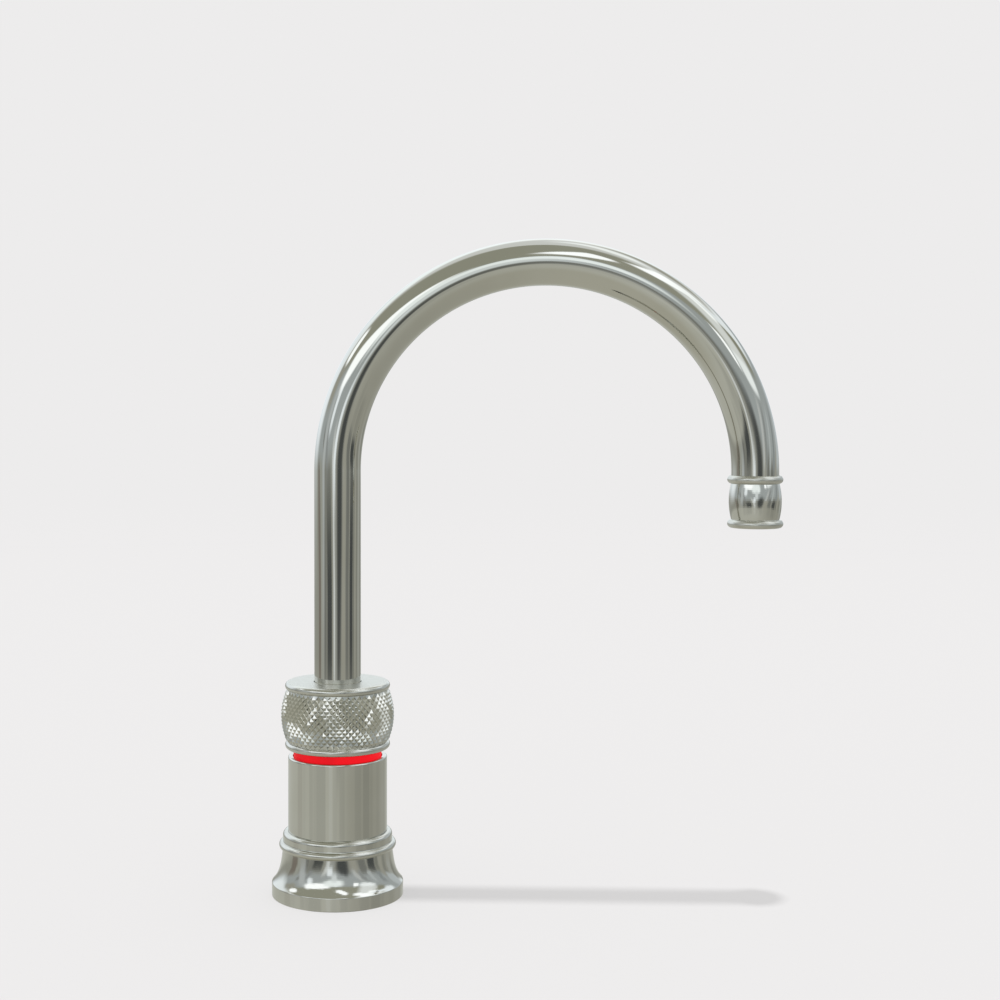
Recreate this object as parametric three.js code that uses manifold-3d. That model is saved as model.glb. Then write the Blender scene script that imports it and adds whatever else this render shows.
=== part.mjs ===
// Boiling water tap: a swan-neck spout on a round body with a push-and-turn knurled ring handle.
// Millimetres, +Z up. The origin is the centre of the foot's underside, on top of the worktop.
// The spout reaches along +X.

import * as THREE from 'three';
import { mergeVertices } from 'three/addons/utils/BufferGeometryUtils.js';
import Module from 'manifold-3d';

const wasm = await Module();
wasm.setup();

const { degToRad } = THREE.MathUtils;

// ---------------------------------------------------------------- driving dimensions

// Clearances
const fit = 0.3; // radial, and between pieces that slide or turn on each other
const turnFit = 0.4; // radial, round a wide piece that turns
const bushFit = 0.2; // radial, in a plain bearing
const seat = 0.1; // between faces that rest on each other
const runOut = 1; // how far a cutting or a joined shape runs past a face

// Spout
const spoutRadius = 11;
const spoutWall = 1.5;
const spoutReach = 196.2;
const spoutLeg = 99.7; // straight, above the handle
const waterTubeRadius = 4;
const waterTubeWall = 1;
const spacerHeight = 4;
const spacerHub = 1;
const spacerArms = 3;
const spacerArmAngle = degToRad(8);
const legSpacerDrop = 32;

// Spout holder and the bearings inside it
const holderWall = 1.5;
const bushSpace = 1.6;
const bushLength = 6;
const holderFlatDepth = 0.6;
const holderCollarHeight = 3;
const holderPlug = 12;
const holderLip = 0.7;
const clipThickness = 1;
const clipReach = 1;
const clipGroove = 1.1;
const clipGap = degToRad(40);
const thrustWasher = 1;
const snapRing = 1;
const snapRingDepth = 1;
const spigotLength = 9;
const tubeSocket = 6;

// Waterway from the valve into the spout
const valveFloor = 41;
const waterPortRadius = 1.6;
const waterGroove = 4;
const waterGrooveDepth = 1.9;
const sealRing = 0.85;
const sealGroove = 2.2;
const sealSpacing = 5.6;
const firstSeal = 9.1;
const holderStepLand = 1;

// Push sleeve and return spring
const sleeveWall = 1;
const sleeveLength = 16.3;
const sleeveFlange = 2;
const sleeveLedge = 0.9;
const springLength = 10.4;
const springWire = 1.2;
const springTurns = 4;
const pushTravel = 3;

// Valve
const discBand = 4.4;
const portLand = 0.6;
const discSealHeight = 1;
const discHeight = 3;
const cupWall = 1.5;
const spindleWall = 1;
const spindleFlange = 3.2;
const fingerEngagement = 3.7;
const fingerAngle = degToRad(30);
const bonnetHeight = 3;
const ledBoardHeight = 1.2;
const ledHeight = 0.8;
const ledCount = 8;

// Barrel
const barrelWall = 2.27;
const barrelVisible = 35.25;
const barrelEdge = 0.9;

// Foot
const footHeight = 30.2;
const footRim = 2.13;
const footFloor = 5;
const stepEdge = 1.3;
const beadStandOff = 0.1;
const footBeadRadius = 1.7;
const footBeadDrop = 6.45;
const beadRise = 0.4;
const bellSpread = 5.1;
const bellFlare = 1.6;
const bellFlareRise = 3.4;
const bellWaist = 0.7;
const bellWaistDrop = 7.4;
const flangeHeight = 6.2;
const flangeTaper = 0.7;
const footSealWidth = 5;
const footSealGap = 4;
const footSealDepth = 2.2;
const barrelSeatDepth = 6;

// Light ring
const lightGap = 3.55;
const lightWall = 2.2;
const lightHidden = 1.5;

// Handle
const handleHeight = 31.4;
const handlePlate = 2.2;
const handleWall = 2.5;
const handleTopBead = 1.9;
const handleTopBand = 3.6;
const handleBottomBead = 1.8;
const handleBottomBand = 3.6;
const handleBeadReach = 1.1; // past the neck

// Diamond knurl on the handle
const knurlCount = 54;
const knurlRows = 14;
const knurlDepth = 1.1;
const knurlEdge = 0.6; // height of the peaks over the neck at the band's edges
const knurlCrown = 3.1; // and at its middle

// Outlet collar
const collarTopDrop = 2;
const collarLength = 24.6;
const collarBead = 1.95;
const collarBeadReach = 1.9; // past the spout
const collarWaist = 0.2;
const collarBulge = 1.2;
const collarLean = degToRad(85);
const collarTopLean = degToRad(70);
const collarSocket = 1.6;
const collarSpigotWall = 1;
const collarSpigot = 3.6;
const collarShoulder = 2;

// Outlet nozzle
const nozzleRecess = 1.5;
const nozzleFlange = 4;
const nozzleSocket = 4.6;
const nozzleGroove = 1;
const nozzleLand = 1;
const nozzleSeal = 0.55;
const ventCount = 8;
const ventRadius = 0.9;

// Shank and clamp below the worktop
const shankRadius = 16;
const shankWall = 3.5;
const shankSocket = 10;
const shankBelow = 70;
const worktop = 40;
const washerRadius = 27;
const rubberWasher = 3;
const steelWasher = 2;
const nutFlats = 41;
const nutHeight = 9;
const guideHeight = 8;
const riserRadius = 4;
const riserWall = 1;
const riserOffset = 6;
const connectorFlats = 15;
const connectorHex = 6;
const connectorTail = 16;
const tailRadius = 6;
const glandOffset = 7;
const glandRadius = 3.2;
const glandHead = 4.2;
const glandTaper = 1;
const glandLength = 8;
const cableRadius = 2;

// ---------------------------------------------------------------- derived radii, spout outwards

const spoutBore = spoutRadius - spoutWall;
const jetRadius = waterTubeRadius - waterTubeWall;
const tubeSocketRadius = waterTubeRadius + fit;
const waterGrooveRadius = spoutRadius - waterGrooveDepth;
const holderLowerBore = spoutRadius + fit;
const holderUpperBore = spoutRadius + bushSpace;
const holderRadius = holderUpperBore + holderWall;
const holderFlat = holderRadius - holderFlatDepth;
const sleeveBore = holderRadius + fit;
const driveSleeveBore = sleeveBore + sleeveWall + turnFit;
const holderCollarRadius = driveSleeveBore + sleeveLedge;
const spindleBore = holderCollarRadius + turnFit;
const spindleRadius = spindleBore + spindleWall;
const bonnetBore = spindleRadius + turnFit;
const discBore = holderRadius + turnFit;
const discRadius = discBore + discBand;
const portCircle = (discRadius + discBore) / 2;
const portRadius = discBand / 2 - portLand;
const cupBore = discRadius + turnFit;
const housingRadius = cupBore + cupWall;
const barrelBore = housingRadius + fit;
const barrelRadius = barrelBore + barrelWall;
const lightRadius = barrelBore - fit;
const lightBore = lightRadius - lightWall;

const stepRadius = barrelRadius + fit + footRim;
const bellNeckRadius = stepRadius + beadStandOff;
const flangeRadius = bellNeckRadius + bellSpread;
const footSealInner = shankRadius + footSealGap;
const footSealOuter = footSealInner + footSealWidth;

const handleBore = lightRadius + turnFit;
const driveSleeveRadius = handleBore - fit;
const handleNeckRadius = handleBore + handleWall;
const handleReach = handleNeckRadius + handleBeadReach;

const nozzleRadius = spoutBore - fit;
const nozzleHub = tubeSocketRadius + waterTubeWall;
const shankBore = shankRadius - shankWall;
const connectorBore = riserRadius - riserWall;
const connectorSpigot = riserRadius + riserWall + fit;

// ---------------------------------------------------------------- derived levels

const footBeadHeight = footHeight - footBeadDrop;
const barrelTop = footHeight + barrelVisible;
const barrelSeat = footHeight - barrelSeatDepth;
const handleBottom = barrelTop + lightGap;
const handleTop = handleBottom + handleHeight;
const plateUnderside = handleTop - handlePlate;
const lightTop = handleBottom + lightHidden;
const archCentreHeight = handleTop + spoutLeg;

const knurlTop = handleTop - handleTopBand;
const knurlBottom = handleBottom + handleBottomBand;
const knurlPitch = (knurlTop - knurlBottom) / (knurlRows + 1);

const holderTop = plateUnderside - pushTravel - 2 * fit;
const clipTop = holderTop - holderLip - fit;
const clipBottom = clipTop - clipThickness;
const sleeveTop = clipBottom - fit;
const sleeveBottom = sleeveTop - sleeveLength;
const sleeveFlangeTop = sleeveBottom + sleeveFlange;
const driveSleeveBottom = sleeveFlangeTop + seat;
const driveSleeveTop = plateUnderside - seat;
const springTop = sleeveBottom - seat;
const springBottom = springTop - springLength;
const holderCollarTop = springBottom - seat;
const holderCollarBottom = holderCollarTop - holderCollarHeight;
const holderBottom = valveFloor - holderPlug;

const housingBottom = footFloor + seat;
const shankTop = housingBottom + shankSocket;
const discSealBottom = valveFloor + seat;
const fixedDiscBottom = discSealBottom + discSealHeight + seat;
const movingDiscBottom = fixedDiscBottom + discHeight + seat;
const spindleBottom = movingDiscBottom + discHeight + seat;
const spindleFlangeTop = spindleBottom + spindleFlange;
const cupTop = spindleFlangeTop;
const bonnetBottom = cupTop + fit;
const ledBoardBottom = bonnetBottom + bonnetHeight + seat;
const lightBottom = ledBoardBottom + ledBoardHeight + ledHeight + seat;
const spindleTop = driveSleeveBottom - pushTravel - 2 * fit;
const fingerTop = driveSleeveBottom + fingerEngagement;
const slotTop = fingerTop + pushTravel + fit;

const holderBoreFloor = valveFloor + seat;
const washerBottom = holderBoreFloor + seat;
const spoutEndBottom = washerBottom + thrustWasher + seat;
const lowerSealHeight = spoutEndBottom + firstSeal;
const waterPortHeight = lowerSealHeight + sealSpacing;
const upperSealHeight = waterPortHeight + sealSpacing;
const holderStep = upperSealHeight + sealGroove / 2 + holderStepLand;
const snapRingBottom = holderStep + seat;
const snapRingTop = snapRingBottom + snapRing;
const lowerBushBottom = snapRingTop + fit;
const upperBushBottom = holderTop - bushLength;
const spoutTubeBottom = lowerBushBottom + fit;
const spigotTop = spoutTubeBottom + spigotLength;
const waterTubeBottom = spigotTop - tubeSocket + seat;

const bendRadius = spoutReach / 2;
const collarTop = archCentreHeight - collarTopDrop;
const collarBottom = collarTop - collarLength;
const collarStep = collarTop - collarSocket;
const spoutTubeEnd = collarStep + seat;
const nozzleBottom = collarBottom + nozzleRecess;
const nozzleTop = nozzleBottom + nozzleFlange;
const waterTubeEnd = nozzleTop + seat;
const legSpacerBottom = archCentreHeight - legSpacerDrop;
const outletSpacerBottom = nozzleTop + nozzleSocket + fit;

const clampTop = -worktop;
const steelWasherTop = clampTop - rubberWasher - seat;
const nutTop = steelWasherTop - steelWasher - seat;
const guideBottom = -shankBelow;
const guideTop = guideBottom + guideHeight;
const connectorTop = guideTop;
const connectorHexTop = guideBottom - seat;
const connectorHexBottom = connectorHexTop - connectorHex;
const connectorBottom = connectorHexBottom - connectorTail;
const riserBottom = guideBottom + guideHeight / 2;
const riserTop = shankTop + fit + riserRadius;

// ---------------------------------------------------------------- facet counts

const wideFacets = 32;
const clampFacets = 24;
const collarFacets = 24;
const spoutFacets = 18;
const bushFacets = 20;
const innerFacets = 16;
const smallFacets = 14;
const pipeFacets = 10;
const holeFacets = 8;
const ventFacets = 6;
const wireFacets = 5;
const archSteps = 24;
const waterTubeArchSteps = 12;
const springStepsPerTurn = 10;
const sectorSegments = 2;
const ringSegments = 8;
const arcStep = degToRad(45);
const bezierSteps = 5;

// ---------------------------------------------------------------- materials

function material(colour, roughness, metalness) {
  return new THREE.MeshStandardMaterial({ color: colour, roughness, metalness });
}

const polishedNickel = material(0xb4b3a6, 0.12, 1);
const knurledNickel = material(0xa9a898, 0.22, 1);
const redLens = material(0xed1c24, 0.3, 0);
const brass = material(0xb79a56, 0.35, 1);
const steel = material(0xb9bbbc, 0.35, 1);
const copper = material(0xb8704a, 0.35, 1);
const ceramic = material(0xf2efe6, 0.25, 0);
const blackRubber = material(0x1b1b1c, 0.85, 0);
const whitePlastic = material(0xe6e4dc, 0.5, 0);
const greyPlastic = material(0x55585a, 0.55, 0);
const boardGreen = material(0x1f5a3a, 0.6, 0);

// ---------------------------------------------------------------- geometry helpers

// The corners of an outline, with arcs and sweeping curves cut into short chords.
function outlinePoints(outline) {
  const points = [outline.curves[0].getPoint(0)];
  for (const curve of outline.curves) {
    let steps = 1;
    if (curve.isEllipseCurve) {
      steps = Math.ceil(Math.abs(curve.aEndAngle - curve.aStartAngle) / arcStep);
    } else if (!curve.isLineCurve) {
      steps = bezierSteps;
    }
    points.push(...curve.getPoints(steps).slice(1));
  }
  return points;
}

// A solid of revolution about Z. The outline runs anticlockwise in (radius, height).
function revolve(outline, facets) {
  const points = outlinePoints(outline);
  points.push(points[0].clone());
  return new THREE.LatheGeometry(points, facets).rotateX(Math.PI / 2);
}

// An outline from its corners, for pieces whose section is all straight.
function corners(...pairs) {
  const outline = new THREE.Path();
  outline.moveTo(...pairs[0]);
  for (const pair of pairs.slice(1)) {
    outline.lineTo(...pair);
  }
  return outline;
}

// A plain ring between two radii and two heights.
function ring(inner, outer, low, high, facets) {
  return revolve(corners([inner, low], [outer, low], [outer, high], [inner, high]), facets);
}

// A plain round bar about Z.
function bar(radius, low, high, facets) {
  return new THREE.CylinderGeometry(radius, radius, high - low, facets)
    .rotateX(Math.PI / 2)
    .translate(0, 0, (low + high) / 2);
}

function circlePoints(radius, facets) {
  const points = [];
  for (let i = 0; i < facets; i += 1) {
    const angle = (2 * Math.PI * i) / facets;
    points.push(new THREE.Vector2(radius * Math.cos(angle), radius * Math.sin(angle)));
  }
  return points;
}

// A tube swept along a curve; an inner radius of 0 gives a solid wire.
function sweep(path, outer, inner, outerFacets, boreFacets, steps) {
  const section = new THREE.Shape(circlePoints(outer, outerFacets));
  if (inner > 0) {
    section.holes.push(new THREE.Path(circlePoints(inner, boreFacets)));
  }
  return new THREE.ExtrudeGeometry(section, { steps, extrudePath: path });
}

// A flat plate between two heights from a shape drawn in plan.
function plate(shape, low, high, curveSegments = ringSegments) {
  const settings = { depth: high - low, bevelEnabled: false, curveSegments };
  return new THREE.ExtrudeGeometry(shape, settings).translate(0, 0, low);
}

function hexagon(flats) {
  return new THREE.Shape(circlePoints(flats / Math.sqrt(3), 6));
}

// Part of a ring in plan, centred on the given direction.
function ringSector(inner, outer, direction, width) {
  const shape = new THREE.Shape();
  const first = direction - width / 2;
  const last = direction + width / 2;
  shape.absarc(0, 0, outer, first, last, false);
  shape.absarc(0, 0, inner, last, first, true);
  return shape;
}

function toSolid(geometry) {
  const bare = geometry.clone();
  bare.deleteAttribute('normal');
  bare.deleteAttribute('uv');
  const merged = mergeVertices(bare, 1e-4);
  const solidMesh = new wasm.Mesh({
    numProp: 3,
    vertProperties: new Float32Array(merged.attributes.position.array),
    triVerts: new Uint32Array(merged.index.array),
  });
  return new wasm.Manifold(solidMesh);
}

function toGeometry(solid) {
  const result = solid.getMesh();
  const geometry = new THREE.BufferGeometry();
  geometry.setAttribute('position', new THREE.BufferAttribute(result.vertProperties, 3));
  geometry.setIndex(new THREE.BufferAttribute(result.triVerts, 1));
  geometry.computeVertexNormals();
  return geometry;
}

function cut(geometry, ...tools) {
  let solid = toSolid(geometry);
  for (const tool of tools) {
    solid = solid.subtract(toSolid(tool));
  }
  return toGeometry(solid);
}

function join(geometry, ...others) {
  let solid = toSolid(geometry);
  for (const other of others) {
    solid = solid.add(toSolid(other));
  }
  return toGeometry(solid);
}

function piece(name, geometry, pieceMaterial) {
  const mesh = new THREE.Mesh(geometry, pieceMaterial);
  mesh.name = name;
  return mesh;
}

// ---------------------------------------------------------------- curves

// The spout's centre line: up the straight leg in one step, over a half circle in even steps, and
// down the outlet leg in one step.
class SpoutLine extends THREE.Curve {
  constructor(bottom, end, steps) {
    super();
    this.bottom = bottom;
    this.end = end;
    this.archSteps = steps;
    this.steps = steps + 2;
  }

  getPoint(t, target = new THREE.Vector3()) {
    const step = t * this.steps;
    if (step <= 1) {
      return target.set(0, 0, THREE.MathUtils.lerp(this.bottom, archCentreHeight, step));
    }
    if (step <= this.archSteps + 1) {
      const angle = (Math.PI * (step - 1)) / this.archSteps;
      const x = bendRadius * (1 - Math.cos(angle));
      return target.set(x, 0, archCentreHeight + bendRadius * Math.sin(angle));
    }
    const last = step - this.archSteps - 1;
    return target.set(spoutReach, 0, THREE.MathUtils.lerp(archCentreHeight, this.end, last));
  }

  getPointAt(t, target) {
    return this.getPoint(t, target);
  }

  getTangentAt(t, target) {
    return this.getTangent(t, target);
  }
}

class SpringLine extends THREE.Curve {
  constructor(radius, low, high) {
    super();
    this.radius = radius;
    this.low = low;
    this.high = high;
  }

  getPoint(t, target = new THREE.Vector3()) {
    const angle = 2 * Math.PI * springTurns * t;
    const z = THREE.MathUtils.lerp(this.low, this.high, t);
    return target.set(this.radius * Math.cos(angle), this.radius * Math.sin(angle), z);
  }
}

// ---------------------------------------------------------------- foot and barrel

function footGeometry() {
  const neckBottom = footBeadHeight - footBeadRadius;
  const rimHeight = footHeight - stepEdge;
  const barrelSocket = barrelRadius + fit;
  const housingSocket = housingRadius + fit;
  const outline = new THREE.Path();
  outline.moveTo(shankRadius + fit, 0);
  outline.lineTo(footSealInner, 0);
  outline.lineTo(footSealInner, footSealDepth);
  outline.lineTo(footSealOuter, footSealDepth);
  outline.lineTo(footSealOuter, 0);
  outline.lineTo(flangeRadius, 0);
  outline.lineTo(flangeRadius - flangeTaper, flangeHeight);
  outline.bezierCurveTo(
    bellNeckRadius + bellFlare, flangeHeight + bellFlareRise,
    bellNeckRadius + bellWaist, neckBottom - bellWaistDrop,
    bellNeckRadius, neckBottom,
  );
  outline.absarc(bellNeckRadius, footBeadHeight, footBeadRadius, -Math.PI / 2, Math.PI / 2, false);
  outline.lineTo(stepRadius, footBeadHeight + footBeadRadius + beadRise);
  outline.lineTo(stepRadius, rimHeight);
  outline.absarc(stepRadius - stepEdge, rimHeight, stepEdge, 0, Math.PI / 2, false);
  outline.lineTo(barrelSocket, footHeight);
  outline.lineTo(barrelSocket, barrelSeat);
  outline.lineTo(housingSocket, barrelSeat);
  outline.lineTo(housingSocket, footFloor);
  outline.lineTo(shankRadius + fit, footFloor);
  return revolve(outline, wideFacets);
}

function footSealGeometry() {
  const top = footSealDepth - fit;
  return ring(footSealInner + fit, footSealOuter - fit, 0, top, wideFacets);
}

function barrelGeometry() {
  const bottom = barrelSeat + seat;
  const edgeHeight = barrelTop - barrelEdge;
  const outline = new THREE.Path();
  outline.moveTo(barrelBore, bottom);
  outline.lineTo(barrelRadius, bottom);
  outline.lineTo(barrelRadius, edgeHeight);
  outline.absarc(barrelRadius - barrelEdge, edgeHeight, barrelEdge, 0, Math.PI / 2, false);
  outline.lineTo(barrelBore, barrelTop);
  return revolve(outline, wideFacets);
}

function lightRingGeometry() {
  return ring(lightBore, lightRadius, lightBottom, lightTop, wideFacets);
}

function ledBoardGeometry() {
  const boardTop = ledBoardBottom + ledBoardHeight;
  const board = ring(lightBore, lightRadius, ledBoardBottom, boardTop, innerFacets);
  const chips = [];
  for (let i = 0; i < ledCount; i += 1) {
    const side = lightWall / 2;
    const chip = new THREE.BoxGeometry(side, side, 2 * ledHeight);
    chip.translate((lightBore + lightRadius) / 2, 0, boardTop);
    chips.push(chip.rotateZ((2 * Math.PI * i) / ledCount));
  }
  return join(board, ...chips);
}

// ---------------------------------------------------------------- handle

// Radius of the knurl's peaks: a crowned band, widest at half its height.
function crownRadius(z) {
  const middle = (knurlTop + knurlBottom) / 2;
  const fraction = (z - middle) / ((knurlTop - knurlBottom) / 2);
  return handleNeckRadius + THREE.MathUtils.lerp(knurlCrown, knurlEdge, fraction * fraction);
}

// The grip is built ring by ring. The knurled rings have a peak at every other point, staggered
// from row to row, and each square between two rows is split along the line that joins its
// valleys, so every peak stands as a four-sided pyramid between two crossing sets of grooves.
function handleGripGeometry() {
  const positions = [];
  const indices = [];
  const fine = 2 * knurlCount;
  const plain = fine / 3;

  const addRing = (count, z, radiusAt) => {
    const start = positions.length / 3;
    for (let i = 0; i < count; i += 1) {
      const angle = (2 * Math.PI * i) / count;
      const radius = radiusAt(i);
      positions.push(radius * Math.cos(angle), radius * Math.sin(angle), z);
    }
    return { count, at: (i) => start + (i % count) };
  };

  const plainRing = (point) => addRing(plain, point.y, () => point.x);

  const joinEqual = (low, high, peakParity) => {
    for (let i = 0; i < low.count; i += 1) {
      const [a, b, c, d] = [low.at(i), low.at(i + 1), high.at(i + 1), high.at(i)];
      if (i % 2 === peakParity) {
        indices.push(a, b, d, b, c, d);
      } else {
        indices.push(a, b, c, a, c, d);
      }
    }
  };

  // From a coarse ring up to a fine one, whose count is a whole multiple.
  const joinCoarseToFine = (low, high) => {
    const ratio = high.count / low.count;
    const half = Math.floor(ratio / 2);
    for (let i = 0; i < low.count; i += 1) {
      for (let k = 0; k < ratio; k += 1) {
        const corner = low.at(k < half ? i : i + 1);
        indices.push(corner, high.at(ratio * i + k + 1), high.at(ratio * i + k));
      }
      indices.push(low.at(i), low.at(i + 1), high.at(ratio * i + half));
    }
  };

  const joinFineToCoarse = (low, high) => {
    const ratio = low.count / high.count;
    const half = Math.floor(ratio / 2);
    for (let i = 0; i < high.count; i += 1) {
      for (let k = 0; k < ratio; k += 1) {
        const corner = high.at(k < half ? i : i + 1);
        indices.push(low.at(ratio * i + k), low.at(ratio * i + k + 1), corner);
      }
      indices.push(low.at(ratio * i + half), high.at(i + 1), high.at(i));
    }
  };

  const joinChain = (first, points) => {
    let last = first;
    for (const point of points) {
      const next = plainRing(point);
      joinEqual(last, next, 0);
      last = next;
    }
    return last;
  };

  // Bottom bead, from the bore round to the knurl.
  const bottomBead = new THREE.Path();
  const bottomCentre = handleReach - handleBottomBead;
  const bottomHeight = handleBottom + handleBottomBead;
  bottomBead.moveTo(handleBore, handleBottom);
  bottomBead.absarc(
    bottomCentre, bottomHeight, handleBottomBead, -Math.PI / 2, Math.PI / 3, false,
  );
  const bottomPoints = outlinePoints(bottomBead);
  const firstRing = plainRing(bottomPoints[0]);
  const underKnurl = joinChain(firstRing, bottomPoints.slice(1));

  // Knurl
  let lastRow = addRing(fine, knurlBottom, () => handleNeckRadius);
  joinCoarseToFine(underKnurl, lastRow);
  for (let row = 1; row <= knurlRows; row += 1) {
    const z = knurlBottom + row * knurlPitch;
    const isPeak = (i) => (i + row) % 2 === 0;
    const nextRow = addRing(fine, z, (i) => crownRadius(z) - (isPeak(i) ? 0 : knurlDepth));
    joinEqual(lastRow, nextRow, (row + 1) % 2);
    lastRow = nextRow;
  }
  const knurlEnd = addRing(fine, knurlTop, () => handleNeckRadius);
  joinEqual(lastRow, knurlEnd, knurlRows % 2);

  // Top bead, flat top, hole for the spout and the hollow inside.
  const topBead = new THREE.Path();
  const topCentre = handleReach - handleTopBead;
  const topHeight = handleTop - handleTopBead;
  topBead.absarc(topCentre, topHeight, handleTopBead, -Math.PI / 4, Math.PI / 2, false);
  const topPoints = outlinePoints(topBead);
  const aboveKnurl = plainRing(topPoints[0]);
  joinFineToCoarse(knurlEnd, aboveKnurl);
  const lastRing = joinChain(aboveKnurl, [
    ...topPoints.slice(1),
    new THREE.Vector2(spoutRadius + fit, handleTop),
    new THREE.Vector2(spoutRadius + fit, plateUnderside),
    new THREE.Vector2(handleBore, plateUnderside),
  ]);
  joinEqual(lastRing, firstRing, 0);

  const geometry = new THREE.BufferGeometry();
  geometry.setAttribute('position', new THREE.Float32BufferAttribute(positions, 3));
  geometry.setIndex(indices);
  geometry.computeVertexNormals();
  return geometry;
}

// Two slots in the drive sleeve, open at the bottom, take the fingers of the valve spindle.
const fingerDirections = [Math.PI / 2, -Math.PI / 2];

function driveSleeveGeometry() {
  const sleeve = ring(
    driveSleeveBore, driveSleeveRadius, driveSleeveBottom, driveSleeveTop, innerFacets,
  );
  const slotWidth = fingerAngle + (2 * fit) / spindleBore;
  const slots = fingerDirections.map((direction) => {
    const sector = ringSector(spindleBore - fit, spindleRadius + fit, direction, slotWidth);
    return plate(sector, driveSleeveBottom - runOut, slotTop, sectorSegments);
  });
  return cut(sleeve, ...slots);
}

// ---------------------------------------------------------------- push sleeve and spring

// The two flats in plan that keep a sleeve from turning on the column.
function flattedCircle(radius, flat, facets) {
  return circlePoints(radius, facets).map((point) => {
    return new THREE.Vector2(point.x, THREE.MathUtils.clamp(point.y, -flat, flat));
  });
}

function pushSleeveGeometry() {
  const bore = flattedCircle(sleeveBore, holderFlat + fit, innerFacets);
  const body = new THREE.Shape(circlePoints(sleeveBore + sleeveWall, innerFacets));
  const flange = new THREE.Shape(circlePoints(holderCollarRadius, innerFacets));
  body.holes.push(new THREE.Path(bore));
  flange.holes.push(new THREE.Path(bore));
  return join(
    plate(body, sleeveBottom, sleeveTop),
    plate(flange, sleeveBottom, sleeveFlangeTop),
  );
}

function returnSpringGeometry() {
  const coilRadius = (sleeveBore + holderCollarRadius) / 2;
  const wire = springWire / 2;
  const line = new SpringLine(coilRadius, springBottom + wire, springTop - wire);
  return sweep(line, wire, 0, wireFacets, 0, springTurns * springStepsPerTurn);
}

// ---------------------------------------------------------------- valve

function valveHousingGeometry() {
  const socketTop = shankTop + fit;
  const socketRadius = shankRadius + turnFit;
  const body = revolve(corners(
    [socketRadius, housingBottom],
    [housingRadius, housingBottom],
    [housingRadius, cupTop],
    [cupBore, cupTop],
    [cupBore, valveFloor],
    [discBore, valveFloor],
    [discBore, holderBottom - seat],
    [0, holderBottom - seat],
    [0, socketTop],
    [socketRadius, socketTop],
  ), innerFacets);
  const galleryTop = socketTop + 2 * riserRadius;
  const riserSocket = bar(riserRadius + fit, socketTop - runOut, galleryTop, pipeFacets)
    .translate(-riserOffset, 0, 0);
  const gallery = bar(portRadius, 0, portCircle - riserOffset, pipeFacets)
    .rotateY(-Math.PI / 2)
    .translate(-riserOffset, 0, galleryTop - 2 * portRadius);
  const rise = bar(portRadius, galleryTop - 3 * portRadius, valveFloor + runOut, pipeFacets)
    .translate(-portCircle, 0, 0);
  return cut(body, riserSocket, gallery, rise);
}

// A flat ring with two ports; the moving disc has its ports a quarter turn away, so it is shut.
function discGeometry(bottom, height, firstPort) {
  const shape = new THREE.Shape(circlePoints(discRadius, innerFacets));
  shape.holes.push(new THREE.Path(circlePoints(discBore, innerFacets)));
  for (const direction of [firstPort, firstPort + Math.PI]) {
    const port = circlePoints(portRadius, holeFacets).map((point) => {
      return new THREE.Vector2(
        point.x + portCircle * Math.cos(direction),
        point.y + portCircle * Math.sin(direction),
      );
    });
    shape.holes.push(new THREE.Path(port));
  }
  return plate(shape, bottom, bottom + height);
}

function valveSpindleGeometry() {
  const sleeve = revolve(corners(
    [discBore, spindleBottom],
    [discRadius, spindleBottom],
    [discRadius, spindleFlangeTop],
    [spindleRadius, spindleFlangeTop],
    [spindleRadius, spindleTop],
    [spindleBore, spindleTop],
    [spindleBore, spindleFlangeTop],
    [discBore, spindleFlangeTop],
  ), innerFacets);
  const fingers = fingerDirections.map((direction) => {
    const sector = ringSector(spindleBore, spindleRadius, direction, fingerAngle);
    return plate(sector, spindleTop - runOut, fingerTop, sectorSegments);
  });
  return join(sleeve, ...fingers);
}

function bonnetGeometry() {
  return ring(bonnetBore, housingRadius, bonnetBottom, bonnetBottom + bonnetHeight, innerFacets);
}

// ---------------------------------------------------------------- spout holder

function spoutHolderGeometry() {
  const grooveRadius = holderRadius - clipGroove;
  const sealFloor = spindleBore - turnFit - 2 * sealRing - fit;
  const sealMiddle = (holderCollarTop + holderCollarBottom) / 2;
  const column = revolve(corners(
    [0, holderBottom],
    [holderRadius, holderBottom],
    [holderRadius, holderCollarBottom],
    [holderCollarRadius, holderCollarBottom],
    [holderCollarRadius, sealMiddle - sealGroove / 2],
    [sealFloor, sealMiddle - sealGroove / 2],
    [sealFloor, sealMiddle + sealGroove / 2],
    [holderCollarRadius, sealMiddle + sealGroove / 2],
    [holderCollarRadius, holderCollarTop],
    [holderRadius, holderCollarTop],
    [holderRadius, clipBottom - seat],
    [grooveRadius, clipBottom - seat],
    [grooveRadius, clipTop + seat],
    [holderRadius, clipTop + seat],
    [holderRadius, holderTop],
    [holderUpperBore, holderTop],
    [holderUpperBore, holderStep],
    [holderLowerBore, holderStep],
    [holderLowerBore, holderBoreFloor],
    [0, holderBoreFloor],
  ), innerFacets);
  const flatHeight = holderTop - holderCollarTop + runOut;
  const flats = [1, -1].map((side) => {
    const block = new THREE.BoxGeometry(2 * holderRadius, holderRadius, flatHeight);
    return block.translate(
      0,
      side * (holderFlat + holderRadius / 2),
      holderCollarTop + flatHeight / 2,
    );
  });
  const holeEnd = holderRadius + runOut;
  const waterHole = bar(waterPortRadius, -holeEnd, holeEnd, pipeFacets)
    .rotateX(Math.PI / 2)
    .translate(0, 0, waterPortHeight);
  return cut(column, ...flats, waterHole);
}

function spindleSealGeometry() {
  const middle = (holderCollarTop + holderCollarBottom) / 2;
  const radius = spindleBore - turnFit - sealRing;
  return new THREE.TorusGeometry(radius, sealRing, wireFacets, innerFacets)
    .translate(0, 0, middle);
}

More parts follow.
